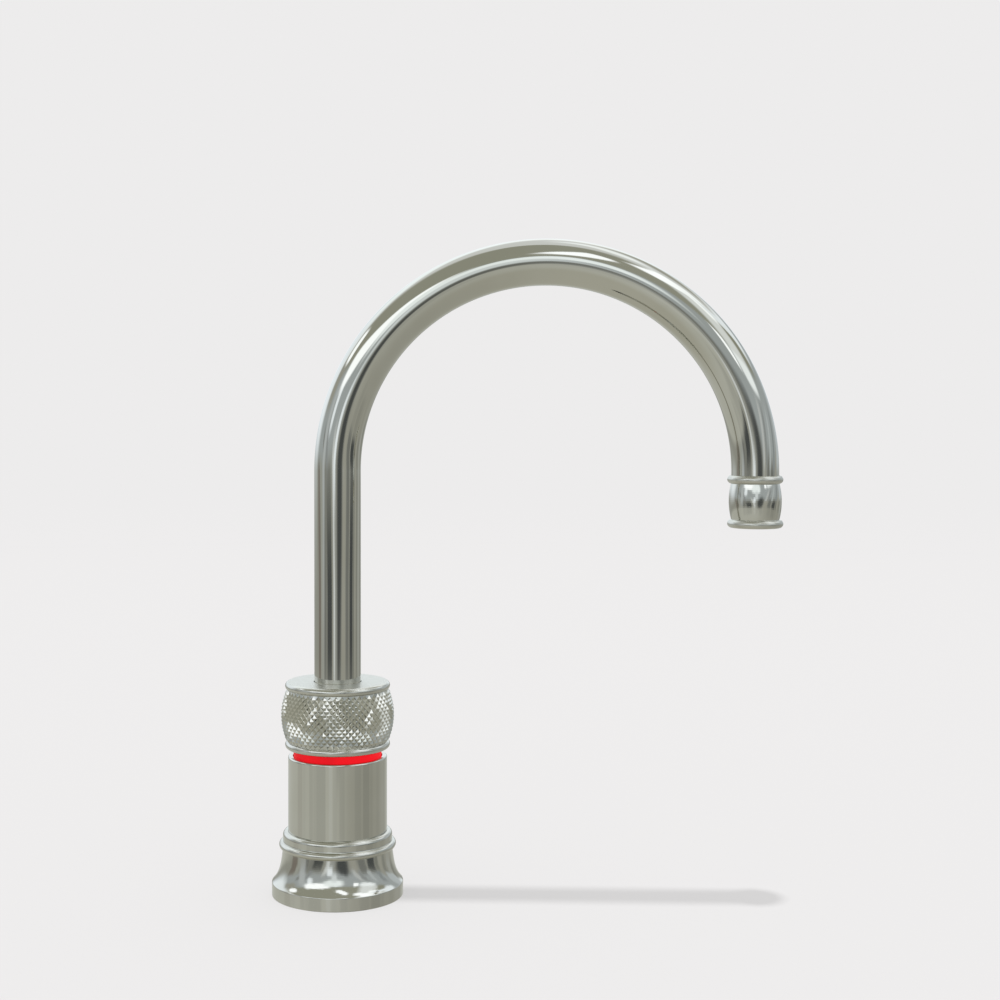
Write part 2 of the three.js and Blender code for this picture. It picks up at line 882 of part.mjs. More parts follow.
function bushGeometry(bottom) {
  const bore = spoutRadius + bushFit;
  return ring(bore, holderUpperBore - fit, bottom, bottom + bushLength, bushFacets);
}

function stopRingGeometry() {
  const inner = holderRadius - clipGroove + fit;
  const sector = ringSector(inner, holderRadius + clipReach, Math.PI, 2 * Math.PI - clipGap);
  return plate(sector, clipBottom, clipTop);
}

function thrustWasherGeometry() {
  const top = washerBottom + thrustWasher;
  return ring(spoutRadius / 2, holderLowerBore - fit, washerBottom, top, innerFacets);
}

// ---------------------------------------------------------------- spout

function spoutTubeGeometry() {
  const line = new SpoutLine(spoutTubeBottom, spoutTubeEnd, archSteps);
  return sweep(line, spoutRadius, spoutBore, spoutFacets, smallFacets, line.steps);
}

function waterTubeGeometry() {
  const line = new SpoutLine(waterTubeBottom, waterTubeEnd, waterTubeArchSteps);
  return sweep(line, waterTubeRadius, jetRadius, holeFacets, wireFacets, line.steps);
}

function spoutEndGeometry() {
  const [lowSeal, highSeal] = [lowerSealHeight, upperSealHeight];
  const snapGroove = spoutRadius - snapRingDepth;
  const spigotRadius = spoutBore - fit;
  const waterFloor = waterPortHeight - jetRadius;
  const body = revolve(corners(
    [0, spoutEndBottom],
    [spoutRadius, spoutEndBottom],
    [spoutRadius, lowSeal - sealGroove / 2],
    [waterGrooveRadius, lowSeal - sealGroove / 2],
    [waterGrooveRadius, lowSeal + sealGroove / 2],
    [spoutRadius, lowSeal + sealGroove / 2],
    [spoutRadius, waterPortHeight - waterGroove / 2],
    [waterGrooveRadius, waterPortHeight - waterGroove / 2],
    [waterGrooveRadius, waterPortHeight + waterGroove / 2],
    [spoutRadius, waterPortHeight + waterGroove / 2],
    [spoutRadius, highSeal - sealGroove / 2],
    [waterGrooveRadius, highSeal - sealGroove / 2],
    [waterGrooveRadius, highSeal + sealGroove / 2],
    [spoutRadius, highSeal + sealGroove / 2],
    [spoutRadius, snapRingBottom - seat],
    [snapGroove, snapRingBottom - seat],
    [snapGroove, snapRingTop + seat],
    [spoutRadius, snapRingTop + seat],
    [spoutRadius, spoutTubeBottom - seat],
    [spigotRadius, spoutTubeBottom - seat],
    [spigotRadius, spigotTop],
    [tubeSocketRadius, spigotTop],
    [tubeSocketRadius, spigotTop - tubeSocket],
    [jetRadius, spigotTop - tubeSocket],
    [jetRadius, waterFloor],
    [0, waterFloor],
  ), smallFacets);
  const crossHole = bar(waterPortRadius, -spoutRadius, spoutRadius, pipeFacets)
    .rotateX(Math.PI / 2)
    .translate(0, 0, waterPortHeight);
  return cut(body, crossHole);
}

function spoutSealGeometry(height) {
  const radius = holderLowerBore - fit - sealRing;
  return new THREE.TorusGeometry(radius, sealRing, wireFacets, smallFacets)
    .translate(0, 0, height);
}

function snapRingGeometry() {
  const inner = spoutRadius - snapRingDepth + fit;
  const sector = ringSector(inner, holderUpperBore - fit, Math.PI, 2 * Math.PI - clipGap);
  return plate(sector, snapRingBottom, snapRingTop);
}

// A ring on the water tube with three arms that reach the wall of the spout.
function spacerGeometry(x, bottom) {
  const hub = tubeSocketRadius + spacerHub;
  const reach = spoutBore - fit;
  const points = [];
  const addPoint = (radius, angle) => {
    points.push(new THREE.Vector2(radius * Math.cos(angle), radius * Math.sin(angle)));
  };
  for (let i = 0; i < spacerArms; i += 1) {
    const direction = (2 * Math.PI * i) / spacerArms;
    addPoint(hub, direction - Math.PI / spacerArms);
    addPoint(hub, direction - spacerArmAngle);
    addPoint(reach, direction - spacerArmAngle / 2);
    addPoint(reach, direction + spacerArmAngle / 2);
    addPoint(hub, direction + spacerArmAngle);
  }
  const shape = new THREE.Shape(points);
  shape.holes.push(new THREE.Path(circlePoints(tubeSocketRadius, pipeFacets)));
  return plate(shape, bottom, bottom + spacerHeight).translate(x, 0, 0);
}

// ---------------------------------------------------------------- outlet

// The collar carries the spout's end in a shallow socket, on a spigot that runs up inside it.
function outletCollarGeometry() {
  const lowBead = collarBottom + collarBead;
  const highBead = collarTop - collarBead;
  const beadCentre = spoutRadius + collarBeadReach - collarBead;
  const bulgeControl = spoutRadius + 2 * collarBulge - collarWaist;
  const socketRadius = spoutRadius + fit;
  const spigotRadius = spoutBore - fit;
  const spigotBore = spigotRadius - collarSpigotWall;
  const shoulder = collarStep - collarShoulder;
  const outline = new THREE.Path();
  outline.moveTo(spoutBore, collarBottom);
  outline.absarc(beadCentre, lowBead, collarBead, -Math.PI / 2, collarLean, false);
  outline.quadraticCurveTo(
    bulgeControl, (lowBead + highBead) / 2,
    spoutRadius + collarWaist, highBead - collarBead,
  );
  outline.absarc(beadCentre, highBead, collarBead, -collarLean, collarTopLean, false);
  outline.lineTo(socketRadius, highBead + collarBead * Math.sin(collarTopLean));
  outline.lineTo(socketRadius, collarStep);
  outline.lineTo(spigotRadius, collarStep);
  outline.lineTo(spigotRadius, collarStep + collarSpigot);
  outline.lineTo(spigotBore, collarStep + collarSpigot);
  outline.lineTo(spigotBore, shoulder);
  outline.lineTo(spoutBore, shoulder);
  return revolve(outline, collarFacets).translate(spoutReach, 0, 0);
}

function outletNozzleGeometry() {
  const grooveRadius = nozzleRadius - nozzleGroove;
  const body = revolve(corners(
    [jetRadius, nozzleBottom],
    [nozzleRadius, nozzleBottom],
    [nozzleRadius, nozzleBottom + nozzleLand],
    [grooveRadius, nozzleBottom + nozzleLand],
    [grooveRadius, nozzleTop - nozzleLand],
    [nozzleRadius, nozzleTop - nozzleLand],
    [nozzleRadius, nozzleTop],
    [nozzleHub, nozzleTop],
    [nozzleHub, nozzleTop + nozzleSocket],
    [tubeSocketRadius, nozzleTop + nozzleSocket],
    [tubeSocketRadius, nozzleTop],
    [jetRadius, nozzleTop],
  ), smallFacets);
  const vents = [];
  const ventCircle = (nozzleHub + grooveRadius) / 2;
  for (let i = 0; i < ventCount; i += 1) {
    const vent = bar(ventRadius, nozzleBottom - runOut, nozzleTop + runOut, ventFacets)
      .translate(ventCircle, 0, 0);
    vents.push(vent.rotateZ((2 * Math.PI * i) / ventCount));
  }
  return cut(body, ...vents).translate(spoutReach, 0, 0);
}

function nozzleSealGeometry() {
  const radius = spoutBore - seat - nozzleSeal;
  return new THREE.TorusGeometry(radius, nozzleSeal, wireFacets, smallFacets)
    .translate(spoutReach, 0, (nozzleBottom + nozzleTop) / 2);
}

// ---------------------------------------------------------------- shank and clamp

function shankGeometry() {
  return ring(shankBore, shankRadius, -shankBelow, shankTop, clampFacets);
}

function washerGeometry(top, height) {
  return ring(shankRadius + fit, washerRadius, top - height, top, clampFacets);
}

function lockNutGeometry() {
  const shape = hexagon(nutFlats);
  shape.holes.push(new THREE.Path(circlePoints(shankRadius + fit, clampFacets)));
  return plate(shape, nutTop - nutHeight, nutTop);
}

function movedCircle(radius, x) {
  return new THREE.Path(circlePoints(radius, pipeFacets).map((point) => {
    return new THREE.Vector2(point.x + x, point.y);
  }));
}

function hoseGuideGeometry() {
  const shape = new THREE.Shape(circlePoints(shankBore - fit, innerFacets));
  shape.holes.push(movedCircle(connectorSpigot + fit, -riserOffset));
  shape.holes.push(movedCircle(glandRadius + fit, glandOffset));
  return plate(shape, guideBottom, guideTop);
}

function inletConnectorGeometry() {
  const spigotBottom = connectorHexTop - runOut;
  const spigot = revolve(corners(
    [connectorBore, spigotBottom],
    [connectorSpigot, spigotBottom],
    [connectorSpigot, connectorTop],
    [riserRadius + fit, connectorTop],
    [riserRadius + fit, riserBottom - seat],
    [connectorBore, riserBottom - seat],
  ), pipeFacets);
  const hexShape = hexagon(connectorFlats);
  hexShape.holes.push(new THREE.Path(circlePoints(connectorBore, pipeFacets)));
  const hex = plate(hexShape, connectorHexBottom, connectorHexTop);
  const tailTop = connectorHexBottom + runOut;
  const tail = ring(connectorBore, tailRadius, connectorBottom, tailTop, pipeFacets);
  return join(spigot, hex, tail).translate(-riserOffset, 0, 0);
}

function cableGlandGeometry() {
  const headTop = guideBottom - seat;
  return revolve(corners(
    [cableRadius, headTop - glandLength],
    [glandHead - glandTaper, headTop - glandLength],
    [glandHead, headTop],
    [glandRadius, headTop],
    [glandRadius, guideTop],
    [cableRadius, guideTop],
  ), pipeFacets).translate(glandOffset, 0, 0);
}

function riserGeometry() {
  return ring(connectorBore, riserRadius, riserBottom, riserTop, pipeFacets)
    .translate(-riserOffset, 0, 0);
}

// ---------------------------------------------------------------- assembly

const fixedBody = new THREE.Group();
fixedBody.add(
  piece('foot', footGeometry(), polishedNickel),
  piece('foot_seal', footSealGeometry(), blackRubber),
  piece('barrel', barrelGeometry(), polishedNickel),
  piece('light_ring', lightRingGeometry(), redLens),
  piece('led_board', ledBoardGeometry(), boardGreen),
  piece('valve_housing', valveHousingGeometry(), brass),
  piece('disc_seal', discGeometry(discSealBottom, discSealHeight, Math.PI), blackRubber),
  piece('fixed_disc', discGeometry(fixedDiscBottom, discHeight, Math.PI), ceramic),
  piece('valve_bonnet', bonnetGeometry(), brass),
  piece('spout_holder', spoutHolderGeometry(), brass),
  piece('spindle_seal', spindleSealGeometry(), blackRubber),
  piece('thrust_washer', thrustWasherGeometry(), whitePlastic),
  piece('lower_bush', bushGeometry(lowerBushBottom), whitePlastic),
  piece('upper_bush', bushGeometry(upperBushBottom), whitePlastic),
  piece('stop_ring', stopRingGeometry(), steel),
  piece('threaded_shank', shankGeometry(), brass),
  piece('rubber_washer', washerGeometry(clampTop, rubberWasher), blackRubber),
  piece('steel_washer', washerGeometry(steelWasherTop, steelWasher), steel),
  piece('lock_nut', lockNutGeometry(), brass),
  piece('hose_guide', hoseGuideGeometry(), greyPlastic),
  piece('inlet_connector', inletConnectorGeometry(), brass),
  piece('cable_gland', cableGlandGeometry(), blackRubber),
  piece('riser_pipe', riserGeometry(), copper),
);

const spout = new THREE.Group();
spout.add(
  piece('spout_tube', spoutTubeGeometry(), polishedNickel),
  piece('water_tube', waterTubeGeometry(), steel),
  piece('spout_end', spoutEndGeometry(), brass),
  piece('spout_seal_lower', spoutSealGeometry(lowerSealHeight), blackRubber),
  piece('spout_seal_upper', spoutSealGeometry(upperSealHeight), blackRubber),
  piece('snap_ring', snapRingGeometry(), steel),
  piece('leg_spacer', spacerGeometry(0, legSpacerBottom), whitePlastic),
  piece('outlet_spacer', spacerGeometry(spoutReach, outletSpacerBottom), whitePlastic),
  piece('outlet_collar', outletCollarGeometry(), polishedNickel),
  piece('outlet_nozzle', outletNozzleGeometry(), greyPlastic),
  piece('nozzle_seal', nozzleSealGeometry(), blackRubber),
);

const handle = new THREE.Group();
handle.add(
  piece('push_sleeve', pushSleeveGeometry(), brass),
  piece('return_spring', returnSpringGeometry(), steel),
  piece('handle_grip', handleGripGeometry(), knurledNickel),
  piece('drive_sleeve', driveSleeveGeometry(), greyPlastic),
);

const valve = new THREE.Group();
valve.add(
  piece('valve_spindle', valveSpindleGeometry(), brass),
  piece('moving_disc', discGeometry(movingDiscBottom, discHeight, Math.PI / 2), ceramic),
);

const tap = new THREE.Group();
tap.add(fixedBody, spout, handle, valve);

export default tap;
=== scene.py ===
"""Looks for the boiling water tap: turned and bent metal, knurled handle, lit ring and studio.

Metres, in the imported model's frame: the origin is the centre of the foot's underside, +Z up,
and the spout reaches along +X.
"""

import math

import bmesh
import bpy
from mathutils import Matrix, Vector


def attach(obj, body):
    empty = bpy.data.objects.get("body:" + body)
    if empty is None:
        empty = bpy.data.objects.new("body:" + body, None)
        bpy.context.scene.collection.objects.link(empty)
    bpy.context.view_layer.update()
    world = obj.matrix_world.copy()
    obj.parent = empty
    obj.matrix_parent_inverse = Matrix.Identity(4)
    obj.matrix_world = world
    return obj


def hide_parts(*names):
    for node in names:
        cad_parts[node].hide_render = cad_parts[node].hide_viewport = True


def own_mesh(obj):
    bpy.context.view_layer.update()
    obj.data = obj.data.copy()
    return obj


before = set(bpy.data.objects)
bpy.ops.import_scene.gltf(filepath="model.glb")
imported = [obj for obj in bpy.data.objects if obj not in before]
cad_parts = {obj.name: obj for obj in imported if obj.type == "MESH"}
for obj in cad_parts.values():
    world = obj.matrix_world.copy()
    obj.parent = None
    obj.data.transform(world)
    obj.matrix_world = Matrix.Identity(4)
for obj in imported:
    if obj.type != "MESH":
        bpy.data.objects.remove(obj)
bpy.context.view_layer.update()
scene = bpy.context.scene

# ---------------------------------------------------------------- dimensions, in millimetres

MM = 0.001

# Clearances: round pieces that turn or slide, between a press fit's faces, between resting faces
FIT = 0.3
SNUG = 0.02
SEAT = 0.1

# Foot
FOOT_HEIGHT = 30.2
FLANGE_RADIUS = 31
FLANGE_HEIGHT = 6.2
BELL_NECK = 25.9
BELL_FLARE = (1.6, 3.4)
BELL_WAIST = (0.7, 7.4)
FOOT_BEAD_HEIGHT = 23.75
FOOT_BEAD = 1.7
STEP_RADIUS = 25.8
STEP_EDGE = 2
STEP_RISE = 0.4  # from the bead to the step's side
FOOT_EDGE = 0.35
FOOT_FLOOR = 5
HOUSING_RADIUS = 20.8
FOOT_SEAL_INNER = 20
FOOT_SEAL_OUTER = 25
FOOT_SEAL_DEPTH = 2.2

# Shank
SHANK_RADIUS = 16
SHANK_BORE = 12.5
SHANK_TOP = 15.1
SHANK_BOTTOM = -70
THREAD_PITCH = 2
THREAD_DEPTH = 0.9
THREAD_TOP = -2
THREAD_FADE = 1.5  # height over which the thread starts and ends
THREAD_RUN_OUT = 0.5
THREAD_SLOPE = 2.6  # steepness of the flanks
THREAD_ROOT = 0.15  # share of the slope that is cut flat at the root

# Barrel and light ring
BARREL_RADIUS = 23.37
BARREL_BORE = 21.1
BARREL_BOTTOM = 24.3
BARREL_TOP = 65.45
BARREL_EDGE = 0.9
LIGHT_RADIUS = 20.8
LIGHT_BORE = 18.6
LIGHT_BOTTOM = 57.1
LIGHT_TOP = 70.5

# Handle
HANDLE_BOTTOM = 69
HANDLE_TOP = 100.4
HANDLE_PLATE = 98.2
HANDLE_BORE = 21.2
HANDLE_NECK = 23.7
HANDLE_REACH = 24.8
HANDLE_EDGE = 0.2
TOP_BEAD = 1.9
TOP_BEAD_START = -50  # angles in degrees where the beads meet the knurled band
BOTTOM_BEAD = 1.8
BOTTOM_BEAD_END = 65
KNURL_BOTTOM = 72.6
KNURL_TOP = 96.8
KNURL_COUNT = 54
KNURL_ROWS = 14
KNURL_DEPTH = 0.9
KNURL_EDGE = 0.6
KNURL_CROWN = 3.1

# Return spring
SPRING_RADIUS = 15.55
SPRING_BOTTOM = 65.5
SPRING_TOP = 75.9
SPRING_WIRE = 1.2
SPRING_TURNS = 4

# Spout
SPOUT_RADIUS = 11
SPOUT_BORE = 9.5
SPOUT_BOTTOM = 66.4
SPOUT_END = 196.6
SPOUT_REACH = 196.2
ARCH_HEIGHT = 200.1
BEND_RADIUS = SPOUT_REACH / 2

# Outlet collar
COLLAR_TOP = 198.1
COLLAR_BOTTOM = 173.5
COLLAR_BEAD = 1.95
COLLAR_BEAD_LEAN = 85  # angles in degrees where the beads meet the bulge and the tube
COLLAR_TOP_LEAN = 70
COLLAR_REACH = 12.9
COLLAR_WAIST = 11.2
COLLAR_BULGE = 12.2
COLLAR_STEP = 196.5
COLLAR_SPIGOT_TOP = 200.1
COLLAR_SPIGOT = 9.2
COLLAR_SPIGOT_BORE = 8.2
COLLAR_SHOULDER = 194.5
COLLAR_EDGE = 0.15

# Clamp under the worktop
WASHER_RADIUS = 27
WASHER_BORE = 16.3
RUBBER_TOP = -40
RUBBER_BOTTOM = -43
STEEL_TOP = -43.1
STEEL_BOTTOM = -45.1
NUT_TOP = -45.2
NUT_BOTTOM = -54.2
NUT_FLATS = 41
NUT_CHAMFER = 1.6
NUT_FACE_DROP = 0.3  # the turned face is smaller than the flats by this much
RUBBER_EDGE = 0.5
STEEL_EDGE = 0.3

# ---------------------------------------------------------------- outlines and meshes


def arc(radius, height, size, first, last, steps=12):
    """Points of an arc of the given size about (radius, height), between two angles in degrees."""
    points = []
    for i in range(steps + 1):
        angle = math.radians(first + (last - first) * i / steps)
        points.append((radius + size * math.cos(angle), height + size * math.sin(angle)))
    return points


def bezier(controls, steps=24):
    """Points of a Bezier curve of any degree."""
    points = []
    for i in range(steps + 1):
        t = i / steps
        level = [Vector(c) for c in controls]
        while len(level) > 1:
            level = [a.lerp(b, t) for a, b in zip(level, level[1:])]
        points.append(tuple(level[0]))
    return points


def soften(outline, size, steps=3, flattest=25, share=0.4):
    """Rounds each corner of a closed outline that turns by more than flattest degrees.

    The rounding reaches out by size, but by no more than a share of the sides that it joins.
    """
    softened = []
    for i, corner in enumerate(outline):
        point = Vector(corner)
        back = Vector(outline[i - 1]) - point
        ahead = Vector(outline[(i + 1) % len(outline)]) - point
        turn = 180 - math.degrees(back.angle(ahead))
        if turn < flattest:
            softened.append(corner)
            continue
        reach = min(size, share * back.length, share * ahead.length)
        first = point + back.normalized() * reach
        last = point + ahead.normalized() * reach
        softened += bezier([first, point, last], steps)
    return softened


def braced(outline, reach=0.08, shortest=0.4):
    """Adds a point near both ends of each long straight, so that flats stay flat when shaded."""
    points = []
    for i, corner in enumerate(outline):
        start = Vector(corner)
        end = Vector(outline[(i + 1) % len(outline)])
        points.append(corner)
        if (end - start).length > shortest:
            step = (end - start).normalized() * reach
            points += [tuple(start + step), tuple(end - step)]
    return points


def chain_mesh(name, rings, triangles=None):
    """A closed skin through rings of points; the last ring joins the first again.

    triangles says for each square whether it is split, and along which diagonal.
    """
    mesh = bpy.data.meshes.new(name)
    size = len(rings[0])
    points = [tuple(c * MM for c in point) for ring in rings for point in ring]
    faces = []
    for row in range(len(rings)):
        low = row * size
        high = (row + 1) % len(rings) * size
        for i in range(size):
            j = (i + 1) % size
            a, b, c, d = low + i, low + j, high + j, high + i
            split = triangles(row, i) if triangles else None
            if split is None:
                faces.append((a, b, c, d))
            elif split:
                faces += [(a, b, d), (b, c, d)]
            else:
                faces += [(a, b, c), (a, c, d)]
    mesh.from_pydata(points, [], faces)
    bm = bmesh.new()
    bm.from_mesh(mesh)
    if bm.calc_volume(signed=True) < 0:
        bmesh.ops.reverse_faces(bm, faces=bm.faces)
    bm.to_mesh(mesh)
    bm.free()
    return mesh


def circle_ring(radius, height, count, centre=0):
    """One ring of points about a vertical axis. The radius is a number or a rule of the index."""
    points = []
    for i in range(count):
        angle = 2 * math.pi * i / count
        r = radius(i) if callable(radius) else radius
        points.append((centre + r * math.cos(angle), r * math.sin(angle), height))
    return points


def lathe(name, outline, count=128, edge=0.2, centre=0):
    """A turned piece from its closed outline in (radius, height), its corners broken by edge."""
    softened = braced(soften(outline, edge))
    return chain_mesh(name, [circle_ring(r, z, count, centre) for r, z in softened])


def add_piece(name, mesh, body, material, nodes, sharp=32):
    """Links a mesh as a smooth shaded piece that rides on a body and stands for CAD nodes."""
    mesh.shade_smooth()
    mesh.set_sharp_from_angle(angle=math.radians(sharp))
    piece = bpy.data.objects.new(name, mesh)
    scene.collection.objects.link(piece)
    mesh.materials.append(material)
    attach(piece, body)
    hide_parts(*nodes)
    return piece


# ---------------------------------------------------------------- materials

EVEN = (1, 1, 1)


class Graph:
    """Adds nodes to a node tree in few words. A value is a number, a colour or a socket.

    A colour is red, green and blue in linear light.
    """

    def __init__(self, tree):
        self.tree = tree
        tree.nodes.clear()

    def node(self, kind, **settings):
        made = self.tree.nodes.new("ShaderNode" + kind)
        for key, value in settings.items():
            setattr(made, key, value)
        return made

    def link(self, source, target):
        self.tree.links.new(source, target)

    def feed(self, socket, value):
        if isinstance(value, bpy.types.NodeSocket):
            self.link(value, socket)
        elif isinstance(value, tuple):
            socket.default_value = (*value, 1)
        else:
            socket.default_value = value

    def maths(self, operation, *values):
        made = self.node("Math", operation=operation)
        for socket, value in zip(made.inputs, values):
            self.feed(socket, value)
        return made.outputs[0]

    def map_range(self, value, low, high, to_low=0.0, to_high=1.0, kind="SMOOTHSTEP"):
        made = self.node("MapRange", interpolation_type=kind)
        for socket, entry in zip(made.inputs, (value, low, high, to_low, to_high)):
            self.feed(socket, entry)
        return made.outputs[0]

    def mix(self, factor, first, second):
        made = self.node("Mix", data_type="RGBA")
        # The node keeps sockets for every kind of data: 6, 7 and output 2 are the colours.
        self.feed(made.inputs[0], factor)
        self.feed(made.inputs[6], first)
        self.feed(made.inputs[7], second)
        return made.outputs[2]

    def noise(self, scale, detail=3.0, stretch=EVEN):
        """Noise in the piece's own metres; a larger stretch makes it finer along that axis."""
        where = self.node("TexCoord").outputs["Object"]
        mapping = self.node("Mapping")
        mapping.inputs["Scale"].default_value = stretch
        self.link(where, mapping.inputs["Vector"])
        made = self.node("TexNoise")
        self.link(mapping.outputs[0], made.inputs["Vector"])
        made.inputs["Scale"].default_value = scale
        made.inputs["Detail"].default_value = detail
        return made.outputs["Fac"]


def new_material(name):
    """An empty material and the graph of its nodes."""
    material = bpy.data.materials.new(name)
    material.use_nodes = True
    return material, Graph(material.node_tree)


COLOUR_DRIFT = (0.35, 0.65)  # the noise levels that give the dark and the light tone
ROUGH_DRIFT = (0.3, 0.7)  # the noise levels that give the least and the most rough place


def surface(
    name, dark, light, rough, metallic=0.0, patch=60, grain=None, specular=0.5, relief=0.0001,
):
    """A surface whose colour drifts between two tones and whose roughness drifts with it.

    rough is the least and the most roughness, and patch the scale of the drift. grain is the
    (scale, strength, stretch) of the relief, and relief is its height in metres.
    """
    material, graph = new_material(name)
    shader = graph.node("BsdfPrincipled")
    drift = graph.noise(patch)
    level = graph.map_range(drift, *COLOUR_DRIFT)
    graph.link(graph.mix(level, dark, light), shader.inputs["Base Color"])
    rough_drift = graph.map_range(drift, *ROUGH_DRIFT, *rough, "LINEAR")
    graph.link(rough_drift, shader.inputs["Roughness"])
    shader.inputs["Metallic"].default_value = metallic
    shader.inputs["Specular IOR Level"].default_value = specular
    if grain:
        scale, strength, stretch = grain
        bump = graph.node("Bump")
        bump.inputs["Strength"].default_value = strength
        bump.inputs["Distance"].default_value = relief
        ripple = graph.noise(scale, detail=2.0, stretch=stretch)
        graph.link(ripple, bump.inputs["Height"])
        graph.link(bump.outputs[0], shader.inputs["Normal"])
    output = graph.node("OutputMaterial")
    graph.link(shader.outputs[0], output.inputs["Surface"])
    return material, graph, shader


# In millimetres: the blur of a band's ends, and how far a band runs past the end of its piece
EDGE_FADE = 0.2
BAND_SPARE = 1


def soften_bands(graph, shader, bands):
    """Raises the roughness between heights. Each band is (bottom, top, roughness)."""
    axes = graph.node("SeparateXYZ")
    graph.link(graph.node("TexCoord").outputs["Object"], axes.inputs[0])
    height = axes.outputs["Z"]
    rough = shader.inputs["Roughness"]
    level = rough.links[0].from_socket
    for bottom, top, value in bands:
        over = graph.map_range(height, (bottom - EDGE_FADE) * MM, (bottom + EDGE_FADE) * MM)
        under = graph.map_range(height, (top - EDGE_FADE) * MM, (top + EDGE_FADE) * MM, 1, 0)
        inside = graph.maths("MULTIPLY", over, under)
        level = graph.maths("MAXIMUM", level, graph.maths("MULTIPLY", inside, value))
    graph.link(level, rough)


NICKEL_DARK = (0.585, 0.575, 0.510)
NICKEL_LIGHT = (0.615, 0.605, 0.545)
WAVE_HEIGHT = 0.0002  # metres

# Roughness of the handle's top face, of the beads on foot and handle, and of the collar's beads
SATIN = 0.34
BEAD_POLISH = 0.2
COLLAR_POLISH = 0.32


def polished_nickel():
    """The mirror-like metal of the tube and the barrel."""
    return surface(
        "polished_nickel",
        dark=NICKEL_DARK,
        light=NICKEL_LIGHT,
        rough=(0.045, 0.065),
        metallic=1.0,
        patch=25,
        grain=(1500, 0.006, EVEN),
    )[0]


def turned_nickel():
    """Waved a little, as polishing leaves a casting, and less sharply polished on the beads."""
    material, graph, shader = surface(
        "turned_nickel",
        dark=NICKEL_DARK,
        light=NICKEL_LIGHT,
        rough=(0.08, 0.10),
        metallic=1.0,
        patch=25,
        grain=(170, 0.5, (1, 1, 0.35)),
        relief=WAVE_HEIGHT,
    )
    soften_bands(graph, shader, [
        (FOOT_BEAD_HEIGHT - FOOT_BEAD, FOOT_BEAD_HEIGHT + FOOT_BEAD, BEAD_POLISH),
        (FOOT_HEIGHT - STEP_EDGE, FOOT_HEIGHT + BAND_SPARE, BEAD_POLISH),
        (COLLAR_BOTTOM - BAND_SPARE, COLLAR_BOTTOM + 2 * COLLAR_BEAD, COLLAR_POLISH),
        (COLLAR_TOP - 2 * COLLAR_BEAD, COLLAR_TOP + BAND_SPARE, COLLAR_POLISH),
    ])
    return material


def knurled_nickel():
    """Bright facets between softer beads, under a top face that is brushed to a satin sheen."""
    material, graph, shader = surface(
        "knurled_nickel",
        dark=NICKEL_DARK,
        light=NICKEL_LIGHT,
        rough=(0.06, 0.10),
        metallic=1.0,
        patch=300,
        grain=(3000, 0.05, EVEN),
    )
    soften_bands(graph, shader, [
        (HANDLE_BOTTOM - BAND_SPARE, KNURL_BOTTOM - EDGE_FADE, BEAD_POLISH),
        (KNURL_TOP + EDGE_FADE, HANDLE_TOP, BEAD_POLISH),
        (HANDLE_TOP - EDGE_FADE, HANDLE_TOP + BAND_SPARE, SATIN),
    ])
    return material


LENS_GLOW = (1.0, 0.008, 0.016)
LENS_GLOW_RANGE = (0.58, 0.73)
LENS_GLOW_SCALE = 70


def red_lens():
    """Red plastic, lit from behind a little unevenly."""
    material, graph, shader = surface(
        "red_lens",
        dark=(0.30, 0.004, 0.007),
        light=(0.36, 0.005, 0.009),
        rough=(0.45, 0.52),
        patch=90,
        specular=0.15,
    )
    drift = graph.noise(LENS_GLOW_SCALE, detail=1.0, stretch=(1, 1, 0.1))
    glow = graph.map_range(drift, *COLOUR_DRIFT, *LENS_GLOW_RANGE)
    graph.feed(shader.inputs["Emission Color"], LENS_GLOW)
    graph.link(glow, shader.inputs["Emission Strength"])
    return material


def brass():
    """Turned brass, with fine marks round it."""
    return surface(
        "brass",
        dark=(0.42, 0.28, 0.09),
        light=(0.50, 0.34, 0.12),
        rough=(0.22, 0.34),
        metallic=1.0,
        patch=90,
        grain=(900, 0.15, (1, 1, 12)),
    )[0]


def steel():
    """Stainless steel, with fine marks round it."""
    return surface(
        "steel",
        dark=(0.46, 0.47, 0.48),
        light=(0.54, 0.55, 0.56),
        rough=(0.24, 0.36),
        metallic=1.0,
        patch=90,
        grain=(900, 0.15, (1, 1, 12)),
    )[0]


def copper():
    """Drawn copper, with fine marks along it."""
    return surface(
        "copper",
        dark=(0.44, 0.17, 0.08),
        light=(0.52, 0.21, 0.10),
        rough=(0.25, 0.38),
        metallic=1.0,
        grain=(700, 0.1, (8, 8, 1)),
    )[0]


def ceramic():
    """Lapped ceramic."""
    return surface(
        "ceramic",
        dark=(0.84, 0.82, 0.74),
        light=(0.88, 0.86, 0.79),
        rough=(0.2, 0.28),
        patch=120,
        grain=(2000, 0.05, EVEN),
    )[0]


def black_rubber():
    """Dull rubber."""
    return surface(
        "black_rubber",
        dark=(0.010, 0.010, 0.011),
        light=(0.018, 0.018, 0.019),
        rough=(0.7, 0.85),
        patch=150,
        grain=(2200, 0.4, EVEN),
    )[0]


def white_plastic():
    """Smooth bearing plastic."""
    return surface(
        "white_plastic",
        dark=(0.74, 0.72, 0.66),
        light=(0.79, 0.77, 0.72),
        rough=(0.4, 0.5),
        patch=80,
        grain=(1600, 0.1, EVEN),
    )[0]


def grey_plastic():
    """Moulded dark plastic."""
    return surface(
        "grey_plastic",
        dark=(0.080, 0.086, 0.092),
        light=(0.098, 0.104, 0.110),
        rough=(0.42, 0.55),
        patch=120,
        grain=(1800, 0.2, EVEN),
    )[0]


def board():
    """Green lacquered circuit board."""
    return surface(
        "board",
        dark=(0.010, 0.075, 0.035),
        light=(0.014, 0.100, 0.050),
        rough=(0.4, 0.55),
        patch=300,
        grain=(1200, 0.1, EVEN),
    )[0]


